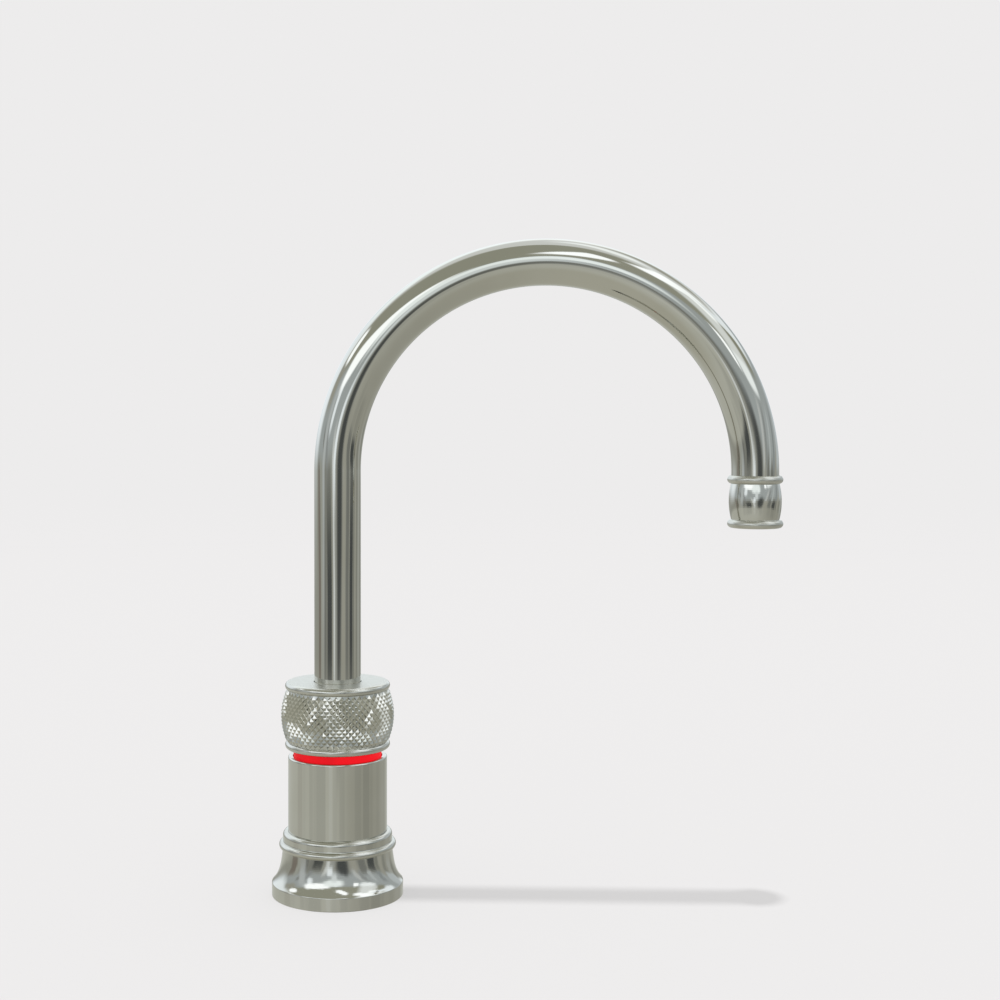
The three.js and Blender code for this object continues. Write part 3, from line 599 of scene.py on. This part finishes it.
FINISHES = {
    "polished_nickel": polished_nickel(),
    "turned_nickel": turned_nickel(),
    "knurled_nickel": knurled_nickel(),
    "red_lens": red_lens(),
    "brass": brass(),
    "steel": steel(),
    "copper": copper(),
    "ceramic": ceramic(),
    "black_rubber": black_rubber(),
    "white_plastic": white_plastic(),
    "grey_plastic": grey_plastic(),
    "board": board(),
}

# ---------------------------------------------------------------- camera

LENS_PIXELS = 1623
SENSOR = 36
IMAGE_SIZE = 1000
CAMERA_PLACE = Vector((0.06883, -0.76576, 0.22853))
CAMERA_PAN = math.radians(-2.228)
CAMERA_TILT = math.radians(0.345)
CAMERA_SHIFT = (0.08, -0.08)
CAMERA_RANGE = (0.01, 100)


def add_camera():
    """The photograph's view: almost level, a little above the outlet."""
    camera = bpy.data.objects.new("camera", bpy.data.cameras.new("camera"))
    scene.collection.objects.link(camera)
    scene.camera = camera
    ahead = Vector((
        math.sin(CAMERA_PAN) * math.cos(CAMERA_TILT),
        math.cos(CAMERA_PAN) * math.cos(CAMERA_TILT),
        -math.sin(CAMERA_TILT),
    ))
    camera.location = CAMERA_PLACE
    camera.rotation_mode = "QUATERNION"
    camera.rotation_quaternion = ahead.to_track_quat("-Z", "Y")
    camera.data.sensor_width = SENSOR
    camera.data.lens = LENS_PIXELS / IMAGE_SIZE * SENSOR
    camera.data.shift_x, camera.data.shift_y = CAMERA_SHIFT
    camera.data.clip_start, camera.data.clip_end = CAMERA_RANGE


add_camera()

# ---------------------------------------------------------------- foot, barrel and light ring


def foot_mesh():
    """The turned foot: flange, bell, bead and step ring, hollow for the seal and the housing."""
    neck_bottom = FOOT_BEAD_HEIGHT - FOOT_BEAD
    rim = FOOT_HEIGHT - STEP_EDGE
    bell = bezier([
        (FLANGE_RADIUS, FLANGE_HEIGHT),
        (BELL_NECK + BELL_FLARE[0], FLANGE_HEIGHT + BELL_FLARE[1]),
        (BELL_NECK + BELL_WAIST[0], neck_bottom - BELL_WAIST[1]),
        (BELL_NECK, neck_bottom),
    ])
    outline = [
        (SHANK_RADIUS + FIT, 0),
        (FOOT_SEAL_INNER, 0),
        (FOOT_SEAL_INNER, FOOT_SEAL_DEPTH),
        (FOOT_SEAL_OUTER, FOOT_SEAL_DEPTH),
        (FOOT_SEAL_OUTER, 0),
        (FLANGE_RADIUS, 0),
        *bell,
        *arc(BELL_NECK, FOOT_BEAD_HEIGHT, FOOT_BEAD, -90, 90, steps=20)[1:],
        (STEP_RADIUS, FOOT_BEAD_HEIGHT + FOOT_BEAD + STEP_RISE),
        *arc(STEP_RADIUS - STEP_EDGE, rim, STEP_EDGE, 0, 90, steps=10),
        (BARREL_RADIUS + SNUG, FOOT_HEIGHT),
        (BARREL_RADIUS + SNUG, BARREL_BOTTOM - SEAT),
        (HOUSING_RADIUS + FIT, BARREL_BOTTOM - SEAT),
        (HOUSING_RADIUS + FIT, FOOT_FLOOR),
        (SHANK_RADIUS + FIT, FOOT_FLOOR),
    ]
    return lathe("foot_turned", outline, edge=FOOT_EDGE)


def barrel_mesh():
    """The plain sleeve of the body, its top edge rounded."""
    outline = [
        (BARREL_BORE, BARREL_BOTTOM),
        (BARREL_RADIUS, BARREL_BOTTOM),
        *arc(BARREL_RADIUS - BARREL_EDGE, BARREL_TOP - BARREL_EDGE, BARREL_EDGE, 0, 90),
        (BARREL_BORE, BARREL_TOP),
    ]
    return lathe("barrel_turned", outline)


def light_ring_mesh():
    """The red ring, of which only the top shows over the barrel."""
    outline = [
        (LIGHT_BORE, LIGHT_BOTTOM),
        (LIGHT_RADIUS, LIGHT_BOTTOM),
        (LIGHT_RADIUS, LIGHT_TOP),
        (LIGHT_BORE, LIGHT_TOP),
    ]
    return lathe("light_ring_lens", outline)


nickel = FINISHES["polished_nickel"]
turned = FINISHES["turned_nickel"]
add_piece("foot_turned", foot_mesh(), "fixed_body", turned, ["foot"])
add_piece("barrel_turned", barrel_mesh(), "fixed_body", nickel, ["barrel"])
add_piece(
    "light_ring_lens", light_ring_mesh(), "fixed_body",
    FINISHES["red_lens"], ["light_ring"],
)

# ---------------------------------------------------------------- knurled handle


def crown_radius(height):
    """The radius of the pyramids' peaks, which stand out most at half height."""
    middle = (KNURL_TOP + KNURL_BOTTOM) / 2
    share = (height - middle) / ((KNURL_TOP - KNURL_BOTTOM) / 2)
    return HANDLE_NECK + KNURL_CROWN + (KNURL_EDGE - KNURL_CROWN) * share * share


def handle_mesh():
    """The grip ring by ring: beads, and between them staggered rows of four-sided pyramids."""
    count = 2 * KNURL_COUNT
    pitch = (KNURL_TOP - KNURL_BOTTOM) / (KNURL_ROWS + 1)
    centre = HANDLE_REACH - BOTTOM_BEAD
    height = HANDLE_BOTTOM + BOTTOM_BEAD
    bottom_bead = arc(centre, height, BOTTOM_BEAD, -90, BOTTOM_BEAD_END, steps=16)
    centre = HANDLE_REACH - TOP_BEAD
    height = HANDLE_TOP - TOP_BEAD
    top_bead = arc(centre, height, TOP_BEAD, TOP_BEAD_START, 90, steps=16)
    lower = [(HANDLE_BORE, HANDLE_BOTTOM), *bottom_bead, (HANDLE_NECK, HANDLE_TOP)]
    below = [point for point in soften(lower, HANDLE_EDGE) if point[1] < KNURL_BOTTOM]
    rings = [circle_ring(r, z, count) for r, z in below]
    rings.append(circle_ring(HANDLE_NECK, KNURL_BOTTOM, count))
    first_row = len(rings)
    for row in range(1, KNURL_ROWS + 1):
        height = KNURL_BOTTOM + row * pitch
        peak = crown_radius(height)

        def pyramids(i, peak=peak, row=row):
            return peak - KNURL_DEPTH * ((i + row) % 2)

        rings.append(circle_ring(pyramids, height, count))
    rings.append(circle_ring(HANDLE_NECK, KNURL_TOP, count))
    hole = SPOUT_RADIUS + FIT
    above = [
        *top_bead,
        (hole + HANDLE_EDGE, HANDLE_TOP),
        (hole, HANDLE_TOP - HANDLE_EDGE),
        (hole, HANDLE_PLATE),
        (HANDLE_BORE, HANDLE_PLATE),
    ]
    rings += [circle_ring(r, z, count) for r, z in above]

    def split(row, i):
        """Each square of the knurl is split along the diagonal that joins its two valleys."""
        knurl_row = row - first_row + 1
        if 0 <= knurl_row <= KNURL_ROWS:
            return i % 2 == knurl_row % 2
        return None

    return chain_mesh("handle_knurled", rings, split)


add_piece(
    "handle_knurled", handle_mesh(), "handle",
    FINISHES["knurled_nickel"], ["handle_grip"], sharp=20,
)

# ---------------------------------------------------------------- return spring


def spring_mesh():
    """Round wire wound in an even helix, which closes up as the handle is pushed."""
    facets = 12
    steps_per_turn = 32
    steps = steps_per_turn * SPRING_TURNS
    wire = SPRING_WIRE / 2
    climb = SPRING_TOP - SPRING_BOTTOM - SPRING_WIRE
    slope = climb / (2 * math.pi * SPRING_TURNS * SPRING_RADIUS)
    points = []
    for step in range(steps + 1):
        turn = 2 * math.pi * SPRING_TURNS * step / steps
        outward = Vector((math.cos(turn), math.sin(turn), 0))
        ahead = Vector((-math.sin(turn), math.cos(turn), slope)).normalized()
        across = outward.cross(ahead)
        centre = outward * SPRING_RADIUS
        centre.z = SPRING_BOTTOM + wire + climb * step / steps
        for i in range(facets):
            angle = 2 * math.pi * i / facets
            side = outward * math.cos(angle) + across * math.sin(angle)
            points.append((centre + side * wire) * MM)
    faces = []
    for row in range(0, steps * facets, facets):
        for i in range(facets):
            j = (i + 1) % facets
            faces.append((row + i, row + j, row + facets + j, row + facets + i))
    last = steps * facets
    faces.append(tuple(range(facets)))
    faces.append(tuple(range(last, last + facets)))
    mesh = bpy.data.meshes.new("return_spring_coiled")
    mesh.from_pydata(points, [], faces)
    bm = bmesh.new()
    bm.from_mesh(mesh)
    bmesh.ops.recalc_face_normals(bm, faces=bm.faces)
    bm.to_mesh(mesh)
    bm.free()
    return mesh


spring = add_piece(
    "return_spring_coiled", spring_mesh(), "fixed_body", FINISHES["steel"],
    ["return_spring"],
)
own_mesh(spring)

# ---------------------------------------------------------------- spout and outlet


def spout_sections():
    """Centre and direction of each section of the spout, from the holder to the outlet."""
    sections = [((0, SPOUT_BOTTOM), 0), ((0, ARCH_HEIGHT), 0)]
    arch_steps = 120
    for i in range(1, arch_steps + 1):
        angle = math.pi * i / arch_steps
        x = BEND_RADIUS * (1 - math.cos(angle))
        sections.append(((x, ARCH_HEIGHT + BEND_RADIUS * math.sin(angle)), angle))
    sections.append(((SPOUT_REACH, SPOUT_END), math.pi))
    return sections


def spout_mesh():
    """The bent tube: its outer skin along the sections, and its bore back along them."""
    count = 72
    skins = []
    for radius in (SPOUT_RADIUS, SPOUT_BORE):
        skin = []
        for (x, z), turn in spout_sections():
            ring = []
            for i in range(count):
                angle = 2 * math.pi * i / count
                out = radius * math.cos(angle)
                ring.append((
                    x + out * math.cos(turn),
                    radius * math.sin(angle),
                    z - out * math.sin(turn),
                ))
            skin.append(ring)
        skins.append(skin)
    return chain_mesh("spout_bent", skins[0] + skins[1][::-1])


def collar_mesh():
    """The outlet's bulged collar between two beads, with the spigot that goes up the tube."""
    low = COLLAR_BOTTOM + COLLAR_BEAD
    high = COLLAR_TOP - COLLAR_BEAD
    centre = COLLAR_REACH - COLLAR_BEAD
    lean = COLLAR_BEAD_LEAN
    low_bead = arc(centre, low, COLLAR_BEAD, -90, lean, steps=18)
    high_bead = arc(centre, high, COLLAR_BEAD, -lean, COLLAR_TOP_LEAN, steps=16)
    bulge = bezier([
        low_bead[-1],
        (2 * COLLAR_BULGE - COLLAR_WAIST, (low + high) / 2),
        (COLLAR_WAIST, high - COLLAR_BEAD),
    ], steps=20)
    outline = [
        (SPOUT_BORE, COLLAR_BOTTOM),
        *low_bead,
        *bulge[1:],
        *high_bead[1:],
        (SPOUT_RADIUS + FIT, high_bead[-1][1]),
        (SPOUT_RADIUS + FIT, COLLAR_STEP),
        (COLLAR_SPIGOT, COLLAR_STEP),
        (COLLAR_SPIGOT, COLLAR_SPIGOT_TOP),
        (COLLAR_SPIGOT_BORE, COLLAR_SPIGOT_TOP),
        (COLLAR_SPIGOT_BORE, COLLAR_SHOULDER),
        (SPOUT_BORE, COLLAR_SHOULDER),
    ]
    return lathe(
        "outlet_collar_turned", outline, count=96, edge=COLLAR_EDGE, centre=SPOUT_REACH,
    )


add_piece("spout_bent", spout_mesh(), "spout", nickel, ["spout_tube"])
add_piece(
    "outlet_collar_turned", collar_mesh(), "spout", turned,
    ["outlet_collar"],
)

# ---------------------------------------------------------------- shank and clamp


def shank_mesh():
    """The threaded stub: one ridge winds down the outside from just under the worktop face."""
    count = 64
    per_turn = 8
    rings = [
        circle_ring(SHANK_BORE, SHANK_TOP, count),
        circle_ring(SHANK_BORE, SHANK_BOTTOM, count),
    ]
    steps = int((THREAD_TOP - SHANK_BOTTOM) / THREAD_PITCH * per_turn)
    for row in range(steps + 1):
        height = SHANK_BOTTOM + row * THREAD_PITCH / per_turn
        end = min(height - SHANK_BOTTOM, THREAD_TOP - height)
        fade = max(0, min(1, end / THREAD_FADE))

        def thread(i, height=height, fade=fade):
            phase = (height / THREAD_PITCH - i / count) % 1
            ridge = THREAD_SLOPE * (0.5 - abs(phase - 0.5)) - THREAD_ROOT
            ridge = min(1, max(0, ridge))
            return SHANK_RADIUS - THREAD_DEPTH * (1 - ridge) * fade - SNUG

        rings.append(circle_ring(thread, height, count))
    rings.append(circle_ring(SHANK_RADIUS, THREAD_TOP + THREAD_RUN_OUT, count))
    rings.append(circle_ring(SHANK_RADIUS, SHANK_TOP, count))
    return chain_mesh("shank_threaded", rings)


def washer_mesh(name, bottom, top, edge):
    """One of the two flat rings that the nut clamps."""
    outline = [
        (WASHER_BORE, bottom),
        (WASHER_RADIUS, bottom),
        (WASHER_RADIUS, top),
        (WASHER_BORE, top),
    ]
    return lathe(name, outline, count=96, edge=edge)


def nut_mesh():
    """A hexagon nut with its corners turned down on both faces."""
    count = 96
    half_flat = NUT_FLATS / 2
    corner = NUT_FLATS / math.sqrt(3)
    face = half_flat - NUT_FACE_DROP

    def hexagon(limit):
        """The rule for a hexagon's radius, its corners cut off at the limit."""
        def radius(i):
            angle = (2 * math.pi * i / count) % (math.pi / 3) - math.pi / 6
            return min(limit, half_flat / math.cos(angle))
        return radius

    levels = 6
    chamfer = []
    for i in range(levels + 1):
        share = i / levels
        chamfer.append((hexagon(face + (corner - face) * share), NUT_CHAMFER * share))
    rings = [circle_ring(WASHER_BORE, NUT_BOTTOM, count)]
    rings += [circle_ring(radius, NUT_BOTTOM + rise, count) for radius, rise in chamfer]
    rings += [circle_ring(radius, NUT_TOP - rise, count) for radius, rise in chamfer[::-1]]
    rings.append(circle_ring(WASHER_BORE, NUT_TOP, count))
    return chain_mesh("lock_nut_chamfered", rings)


add_piece(
    "shank_threaded", shank_mesh(), "fixed_body", FINISHES["brass"],
    ["threaded_shank"],
)
add_piece(
    "rubber_washer_moulded",
    washer_mesh("rubber_washer_moulded", RUBBER_BOTTOM, RUBBER_TOP, RUBBER_EDGE),
    "fixed_body", FINISHES["black_rubber"], ["rubber_washer"],
)
add_piece(
    "steel_washer_pressed",
    washer_mesh("steel_washer_pressed", STEEL_BOTTOM, STEEL_TOP, STEEL_EDGE),
    "fixed_body", FINISHES["steel"], ["steel_washer"],
)
add_piece(
    "lock_nut_chamfered", nut_mesh(), "fixed_body", FINISHES["brass"], ["lock_nut"],
)

# ---------------------------------------------------------------- carried-over CAD nodes

NODE_FINISHES = {
    "brass": [
        "valve_housing", "valve_bonnet", "spout_holder", "inlet_connector", "spout_end",
        "push_sleeve", "valve_spindle",
    ],
    "steel": ["stop_ring", "water_tube", "snap_ring"],
    "copper": ["riser_pipe"],
    "ceramic": ["fixed_disc", "moving_disc"],
    "black_rubber": [
        "foot_seal", "disc_seal", "spindle_seal", "spout_seal_lower", "spout_seal_upper",
        "nozzle_seal", "cable_gland",
    ],
    "white_plastic": [
        "thrust_washer", "lower_bush", "upper_bush", "leg_spacer", "outlet_spacer",
    ],
    "grey_plastic": ["hose_guide", "outlet_nozzle", "drive_sleeve"],
    "board": ["led_board"],
}


def dress_node(node, finish):
    """Gives a CAD node one finish all over."""
    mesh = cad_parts[node].data
    mesh.materials.clear()
    mesh.materials.append(FINISHES[finish])
    for face in mesh.polygons:
        face.material_index = 0


for finish, names in NODE_FINISHES.items():
    for name in names:
        dress_node(name, finish)

# ---------------------------------------------------------------- studio

BACKDROP = (0.847, 0.839, 0.839)
FLOOR_COLOUR = (0.80, 0.792, 0.792)
FLOOR_GLOW = 0.7  # share of the floor that glows evenly; the rest takes the shadow
FLOOR_LEVEL = 0.847  # strength of that glow
FLOOR_RADIUS = 4
FLOOR_FADE = (0.8, 3.5)  # distances in metres over which the floor fades out
SUN_STRENGTH = 2.4
SUN_WIDTH = math.radians(2.5)
TENT_RADIUS = 10
TENT_HEIGHT = 0.1  # of its centre over the floor


def add_world():
    """The even pale backdrop, which also lights everything that isn't a mirror."""
    world = bpy.data.worlds.new("backdrop")
    scene.world = world
    world.use_nodes = True
    graph = Graph(world.node_tree)
    background = graph.node("Background")
    graph.feed(background.inputs["Color"], BACKDROP)
    background.inputs["Strength"].default_value = 1.0
    output = graph.node("OutputWorld")
    graph.link(background.outputs[0], output.inputs["Surface"])


def add_floor():
    """A plain pale disc under the tap, which fades into the backdrop."""
    mesh = bpy.data.meshes.new("floor")
    bm = bmesh.new()
    bmesh.ops.create_circle(bm, cap_ends=True, segments=96, radius=FLOOR_RADIUS)
    bm.to_mesh(mesh)
    bm.free()
    material, graph = new_material("floor")
    where = graph.node("TexCoord").outputs["Object"]
    length = graph.node("VectorMath", operation="LENGTH")
    graph.link(where, length.inputs[0])
    fade = graph.map_range(length.outputs["Value"], *FLOOR_FADE)
    diffuse = graph.node("BsdfDiffuse")
    graph.feed(diffuse.inputs["Color"], FLOOR_COLOUR)
    glow = graph.node("Emission")
    graph.feed(glow.inputs["Color"], FLOOR_COLOUR)
    seen = graph.node("LightPath").outputs["Is Camera Ray"]
    graph.link(graph.maths("MULTIPLY", seen, FLOOR_LEVEL), glow.inputs["Strength"])
    lit = graph.node("MixShader")
    lit.inputs[0].default_value = FLOOR_GLOW
    graph.link(diffuse.outputs[0], lit.inputs[1])
    graph.link(glow.outputs[0], lit.inputs[2])
    clear = graph.node("BsdfTransparent")
    blend = graph.node("MixShader")
    graph.link(fade, blend.inputs[0])
    graph.link(lit.outputs[0], blend.inputs[1])
    graph.link(clear.outputs[0], blend.inputs[2])
    output = graph.node("OutputMaterial")
    graph.link(blend.outputs[0], output.inputs["Surface"])
    mesh.materials.append(material)
    floor = bpy.data.objects.new("floor", mesh)
    scene.collection.objects.link(floor)
    floor.visible_glossy = False


def add_sun():
    """One soft lamp straight overhead, which lays the spout's shadow under it."""
    light = bpy.data.lights.new("sun", "SUN")
    light.energy = SUN_STRENGTH
    light.angle = SUN_WIDTH
    sun = bpy.data.objects.new("sun", light)
    scene.collection.objects.link(sun)
    sun.visible_glossy = False


# The surroundings as the metal shows them. Angles in degrees: azimuth 0 is the camera's side
# and +90 the outlet's side; elevation is over the horizon.
FLOOR_LEFT = (0.600, 0.615, 0.580)
FLOOR_BELOW = (0.525, 0.525, 0.468)
FLOOR_RIGHT = (0.425, 0.430, 0.395)
SKIRTING = (0.40, 0.41, 0.385)
WALL = (0.49, 0.54, 0.58)
BACK_WALL = (1.04, 1.13, 1.21)
BACK_WINDOW = (1.30, 1.36, 1.42)
CEILING = (0.40, 0.41, 0.355)
PALE = (0.90, 0.94, 0.98)
BLACK = (0.090, 0.098, 0.102)
DIM = (0.24, 0.25, 0.245)
BROWN = (0.27, 0.245, 0.225)
GREY = (0.45, 0.455, 0.42)
BRIGHT = (1.18, 1.28, 1.42)
WHITE = (1.62, 1.70, 1.85)

# Doors, gaps and wall stripes round the horizon: name, azimuth, half width, bottom, top, colour
POSTS = [
    ("left_wood", -93, 8, -30, 0, BROWN),
    ("left_gap", -79, 4, -30, 2, (0.47, 0.49, 0.47)),
    ("left_post", -59, 5, -30, 9, DIM),
    ("left_second_post", -49, 4, -30, 0, (0.28, 0.29, 0.28)),
    ("left_door", -34, 11, -30, -2, BLACK),
    ("middle_line", -11, 4, -30, 3, (0.85, 0.90, 0.95)),
    ("middle_gap", -1, 4, -30, 1, (0.43, 0.45, 0.45)),
    ("middle_post", 15, 6, -30, 2, DIM),
    ("right_gap", 34, 7, -30, 3, GREY),
    ("right_wood", 53, 8, -30, 2, DIM),
    ("right_door", 75, 9, -30, -1, BLACK),
    ("right_post", 90, 4, -30, -2, (0.27, 0.28, 0.26)),
    ("right_line", 101, 4, -30, 3, GREY),
    ("right_second_post", 112, 5, -30, 0, (0.32, 0.33, 0.31)),
    ("far_line", 129, 6, -30, 3, (0.49, 0.51, 0.50)),
    ("far_post", 144, 5, -30, -1, (0.30, 0.31, 0.29)),
    ("left_wall_stripe", -42, 4, -1, 13, (0.38, 0.41, 0.44)),
    ("middle_wall_stripe", 29, 4, -1, 13, (0.68, 0.72, 0.76)),
    ("right_dark_stripe", 40, 4, -1, 13, (0.37, 0.40, 0.42)),
    ("right_light_stripe", 60, 4, -1, 13, (0.62, 0.68, 0.73)),
    ("right_second_stripe", 84, 6, -1, 13, (0.36, 0.40, 0.43)),
    ("far_wall", 122, 16, -1, 15, (0.63, 0.69, 0.75)),
]

# Windows, lamps and sheets, later ones on top of earlier ones: name, azimuth, elevation, half
# width, half height, tilt, soft edge as a share of the width, colour
CARDS = [
    ("left_wall", -133, 22, 22, 21, 0, 0.4, BRIGHT),
    ("left_high_wall", -150, 40, 24, 9, 0, 0.5, (1.30, 1.42, 1.52)),
    ("left_shade", -97, 22, 13, 7, 0, 0.5, GREY),
    ("left_lamp", -94, 33.5, 10, 5.5, 0, 0.25, WHITE),
    ("left_sheet", -69, 8, 7, 14, 0, 0.5, (0.62, 0.67, 0.72)),
    ("left_low_window", -51, 13, 6, 6, 0, 0.4, BRIGHT),
    ("softbox", -37, 24, 26, 7.5, 0, 0.22, WHITE),
    ("softbox_tail", -3, 18, 19, 7, 0, 0.3, (1.25, 1.36, 1.46)),
    ("low_gleam", -11, 1, 5, 3.5, 0, 0.4, BRIGHT),
    ("middle_sheet", -2, 8, 6, 6, 0, 0.5, (0.92, 1.00, 1.08)),
    ("dark_figure", 14, -3, 12, 6, 18, 0.5, BLACK),
    ("slanted_window", 15, 46.5, 15, 6, 34, 0.22, WHITE),
    ("round_lamp", 41, 21.5, 4.5, 4.5, 0, 0.3, WHITE),
    ("right_sheet", 67, 35, 17, 14, 0, 0.4, (1.02, 1.08, 1.14)),
    ("right_lamps", 65, 21, 16, 4.5, 0, 0.35, (1.28, 1.37, 1.48)),
    ("right_window", 72, 53.5, 27, 6, 0, 0.25, WHITE),
    ("right_low_window", 89, 45, 15, 7, 0, 0.3, (1.50, 1.58, 1.70)),
    ("right_hollow", 99, 30, 11, 8, 0, 0.4, (0.37, 0.38, 0.32)),
    ("right_bar", 107, 36, 22, 3.5, -24, 0.35, BRIGHT),
    ("right_second_wall", 122, 30, 11, 7, 0, 0.5, BRIGHT),
    ("far_hollow", 138, 45, 19, 8, 0, 0.5, (0.48, 0.49, 0.45)),
    ("far_window", 135, 64, 30, 6, 0, 0.5, (1.38, 1.46, 1.56)),
]

CARD_SQUARENESS = 3.5  # 2 is an ellipse, and more comes nearer to a rectangle

# The posts in degrees: blur of their sides, top and bottom, how they lean, and their image
POST_EDGE = 1.5
POST_FADE = 4
POST_BOTTOM_FADE = 1.5
POST_SPREAD = 1.4  # degrees of azimuth for each degree of rise
POST_SPREAD_FROM = -6  # elevation at which the lean starts
POST_IMAGE = 0.18  # strength of a post's image in the floor
POST_IMAGE_FADE = (-24, -18)  # elevations between which the image comes in

# Elevations and azimuths in degrees between which one band of the studio turns into the next
FLOOR_BAND = (-45, -22)
SKIRTING_BAND = (-12, -8)
WALL_BAND = (-3, 4)
CEILING_BAND = (22, 30)
BACK_WINDOW_BAND = (42, 50)
BACK_SIDES = (148, 162)
PALE_SIDES = (75, 110)
PALE_CENTRE = -20
RIGHT_FLOOR_FROM = -0.3  # where the floor's right side starts, as a share of the tent's radius


def post_cover(graph, azimuth, elevation, centre, half, bottom, top):
    """How far a post covers a direction. A post shows faintly in the floor below it.

    Posts lean away from the front as they rise, as walls do in a wide view.
    """
    rise = graph.maths("MAXIMUM", graph.maths("SUBTRACT", elevation, POST_SPREAD_FROM), 0)
    lean = graph.maths("MULTIPLY", rise, math.copysign(POST_SPREAD, centre))
    place = graph.maths("ADD", lean, centre)
    distance = graph.maths("ABSOLUTE", graph.maths("SUBTRACT", azimuth, place))
    across = graph.map_range(distance, half - POST_EDGE, half + POST_EDGE, 1, 0)
    under = graph.map_range(elevation, top - POST_FADE, top + POST_FADE, 1, 0)
    over = graph.map_range(elevation, bottom - POST_BOTTOM_FADE, bottom + POST_BOTTOM_FADE)
    standing = graph.map_range(elevation, *SKIRTING_BAND, POST_IMAGE, 1)
    imaged = graph.map_range(elevation, *POST_IMAGE_FADE)
    cover = graph.maths("MULTIPLY", across, graph.maths("MULTIPLY", under, over))
    return graph.maths("MULTIPLY", cover, graph.maths("MULTIPLY", standing, imaged))


def card_cover(graph, azimuth, elevation, centre, level, half, rise, tilt, soft):
    """How far a round-cornered card covers a direction."""
    cosine = math.cos(math.radians(tilt))
    sine = math.sin(math.radians(tilt))
    across = graph.maths("SUBTRACT", azimuth, centre)
    up = graph.maths("SUBTRACT", elevation, level)
    powers = []
    for first, second, reach in ((cosine, sine, half), (-sine, cosine, rise)):
        value = graph.maths(
            "ADD",
            graph.maths("MULTIPLY", across, first / reach),
            graph.maths("MULTIPLY", up, second / reach),
        )
        powers.append(graph.maths("POWER", graph.maths("ABSOLUTE", value), CARD_SQUARENESS))
    distance = graph.maths("POWER", graph.maths("ADD", *powers), 1 / CARD_SQUARENESS)
    return graph.map_range(distance, 1 - soft, 1 + soft, 1, 0)


def tent_colour(graph):
    """The studio's colour by direction: floor, skirting, wall, ceiling, then posts and cards."""
    where = graph.node("TexCoord").outputs["Object"]
    axes = graph.node("SeparateXYZ")
    graph.link(where, axes.inputs[0])
    x, y, z = axes.outputs
    towards = graph.maths("MULTIPLY", y, -1.0)
    azimuth = graph.maths("DEGREES", graph.maths("ARCTAN2", x, towards))
    height = graph.maths("DIVIDE", z, TENT_RADIUS)
    elevation = graph.maths("DEGREES", graph.maths("ARCSINE", height))

    behind = graph.map_range(graph.maths("ABSOLUTE", azimuth), *BACK_SIDES)
    wall = graph.mix(behind, WALL, BACK_WALL)
    window = graph.map_range(elevation, *BACK_WINDOW_BAND, 1, 0)
    back = graph.mix(window, PALE, BACK_WINDOW)
    off_centre = graph.maths("ABSOLUTE", graph.maths("SUBTRACT", azimuth, PALE_CENTRE))
    sides = graph.map_range(off_centre, *PALE_SIDES)
    upper = graph.mix(behind, graph.mix(sides, CEILING, PALE), back)

    colour = graph.mix(graph.map_range(elevation, *FLOOR_BAND), FLOOR_BELOW, FLOOR_LEFT)
    right = graph.map_range(x, RIGHT_FLOOR_FROM * TENT_RADIUS, TENT_RADIUS)
    colour = graph.mix(right, colour, FLOOR_RIGHT)
    for band, tone in ((SKIRTING_BAND, SKIRTING), (WALL_BAND, wall), (CEILING_BAND, upper)):
        colour = graph.mix(graph.map_range(elevation, *band), colour, tone)
    for _, *place, tone in POSTS:
        colour = graph.mix(post_cover(graph, azimuth, elevation, *place), colour, tone)
    for _, *place, tone in CARDS:
        colour = graph.mix(card_cover(graph, azimuth, elevation, *place), colour, tone)
    return colour


def add_tent():
    """Cards and lamps that only the polished metal sees; the backdrop lights everything else."""
    mesh = bpy.data.meshes.new("studio_tent")
    bm = bmesh.new()
    bmesh.ops.create_icosphere(bm, subdivisions=5, radius=TENT_RADIUS)
    bm.to_mesh(mesh)
    bm.free()
    mesh.shade_smooth()
    material, graph = new_material("studio_tent")
    glow = graph.node("Emission")
    graph.link(tent_colour(graph), glow.inputs["Color"])
    output = graph.node("OutputMaterial")
    graph.link(glow.outputs[0], output.inputs["Surface"])
    material.cycles.emission_sampling = "NONE"
    mesh.materials.append(material)
    tent = bpy.data.objects.new("studio_tent", mesh)
    tent.location = (0, 0, TENT_HEIGHT)
    scene.collection.objects.link(tent)
    tent.visible_camera = False
    tent.visible_diffuse = False
    tent.visible_shadow = False
    tent.visible_transmission = False


add_world()
add_floor()
add_sun()
add_tent()

scene.view_settings.view_transform = "Standard"
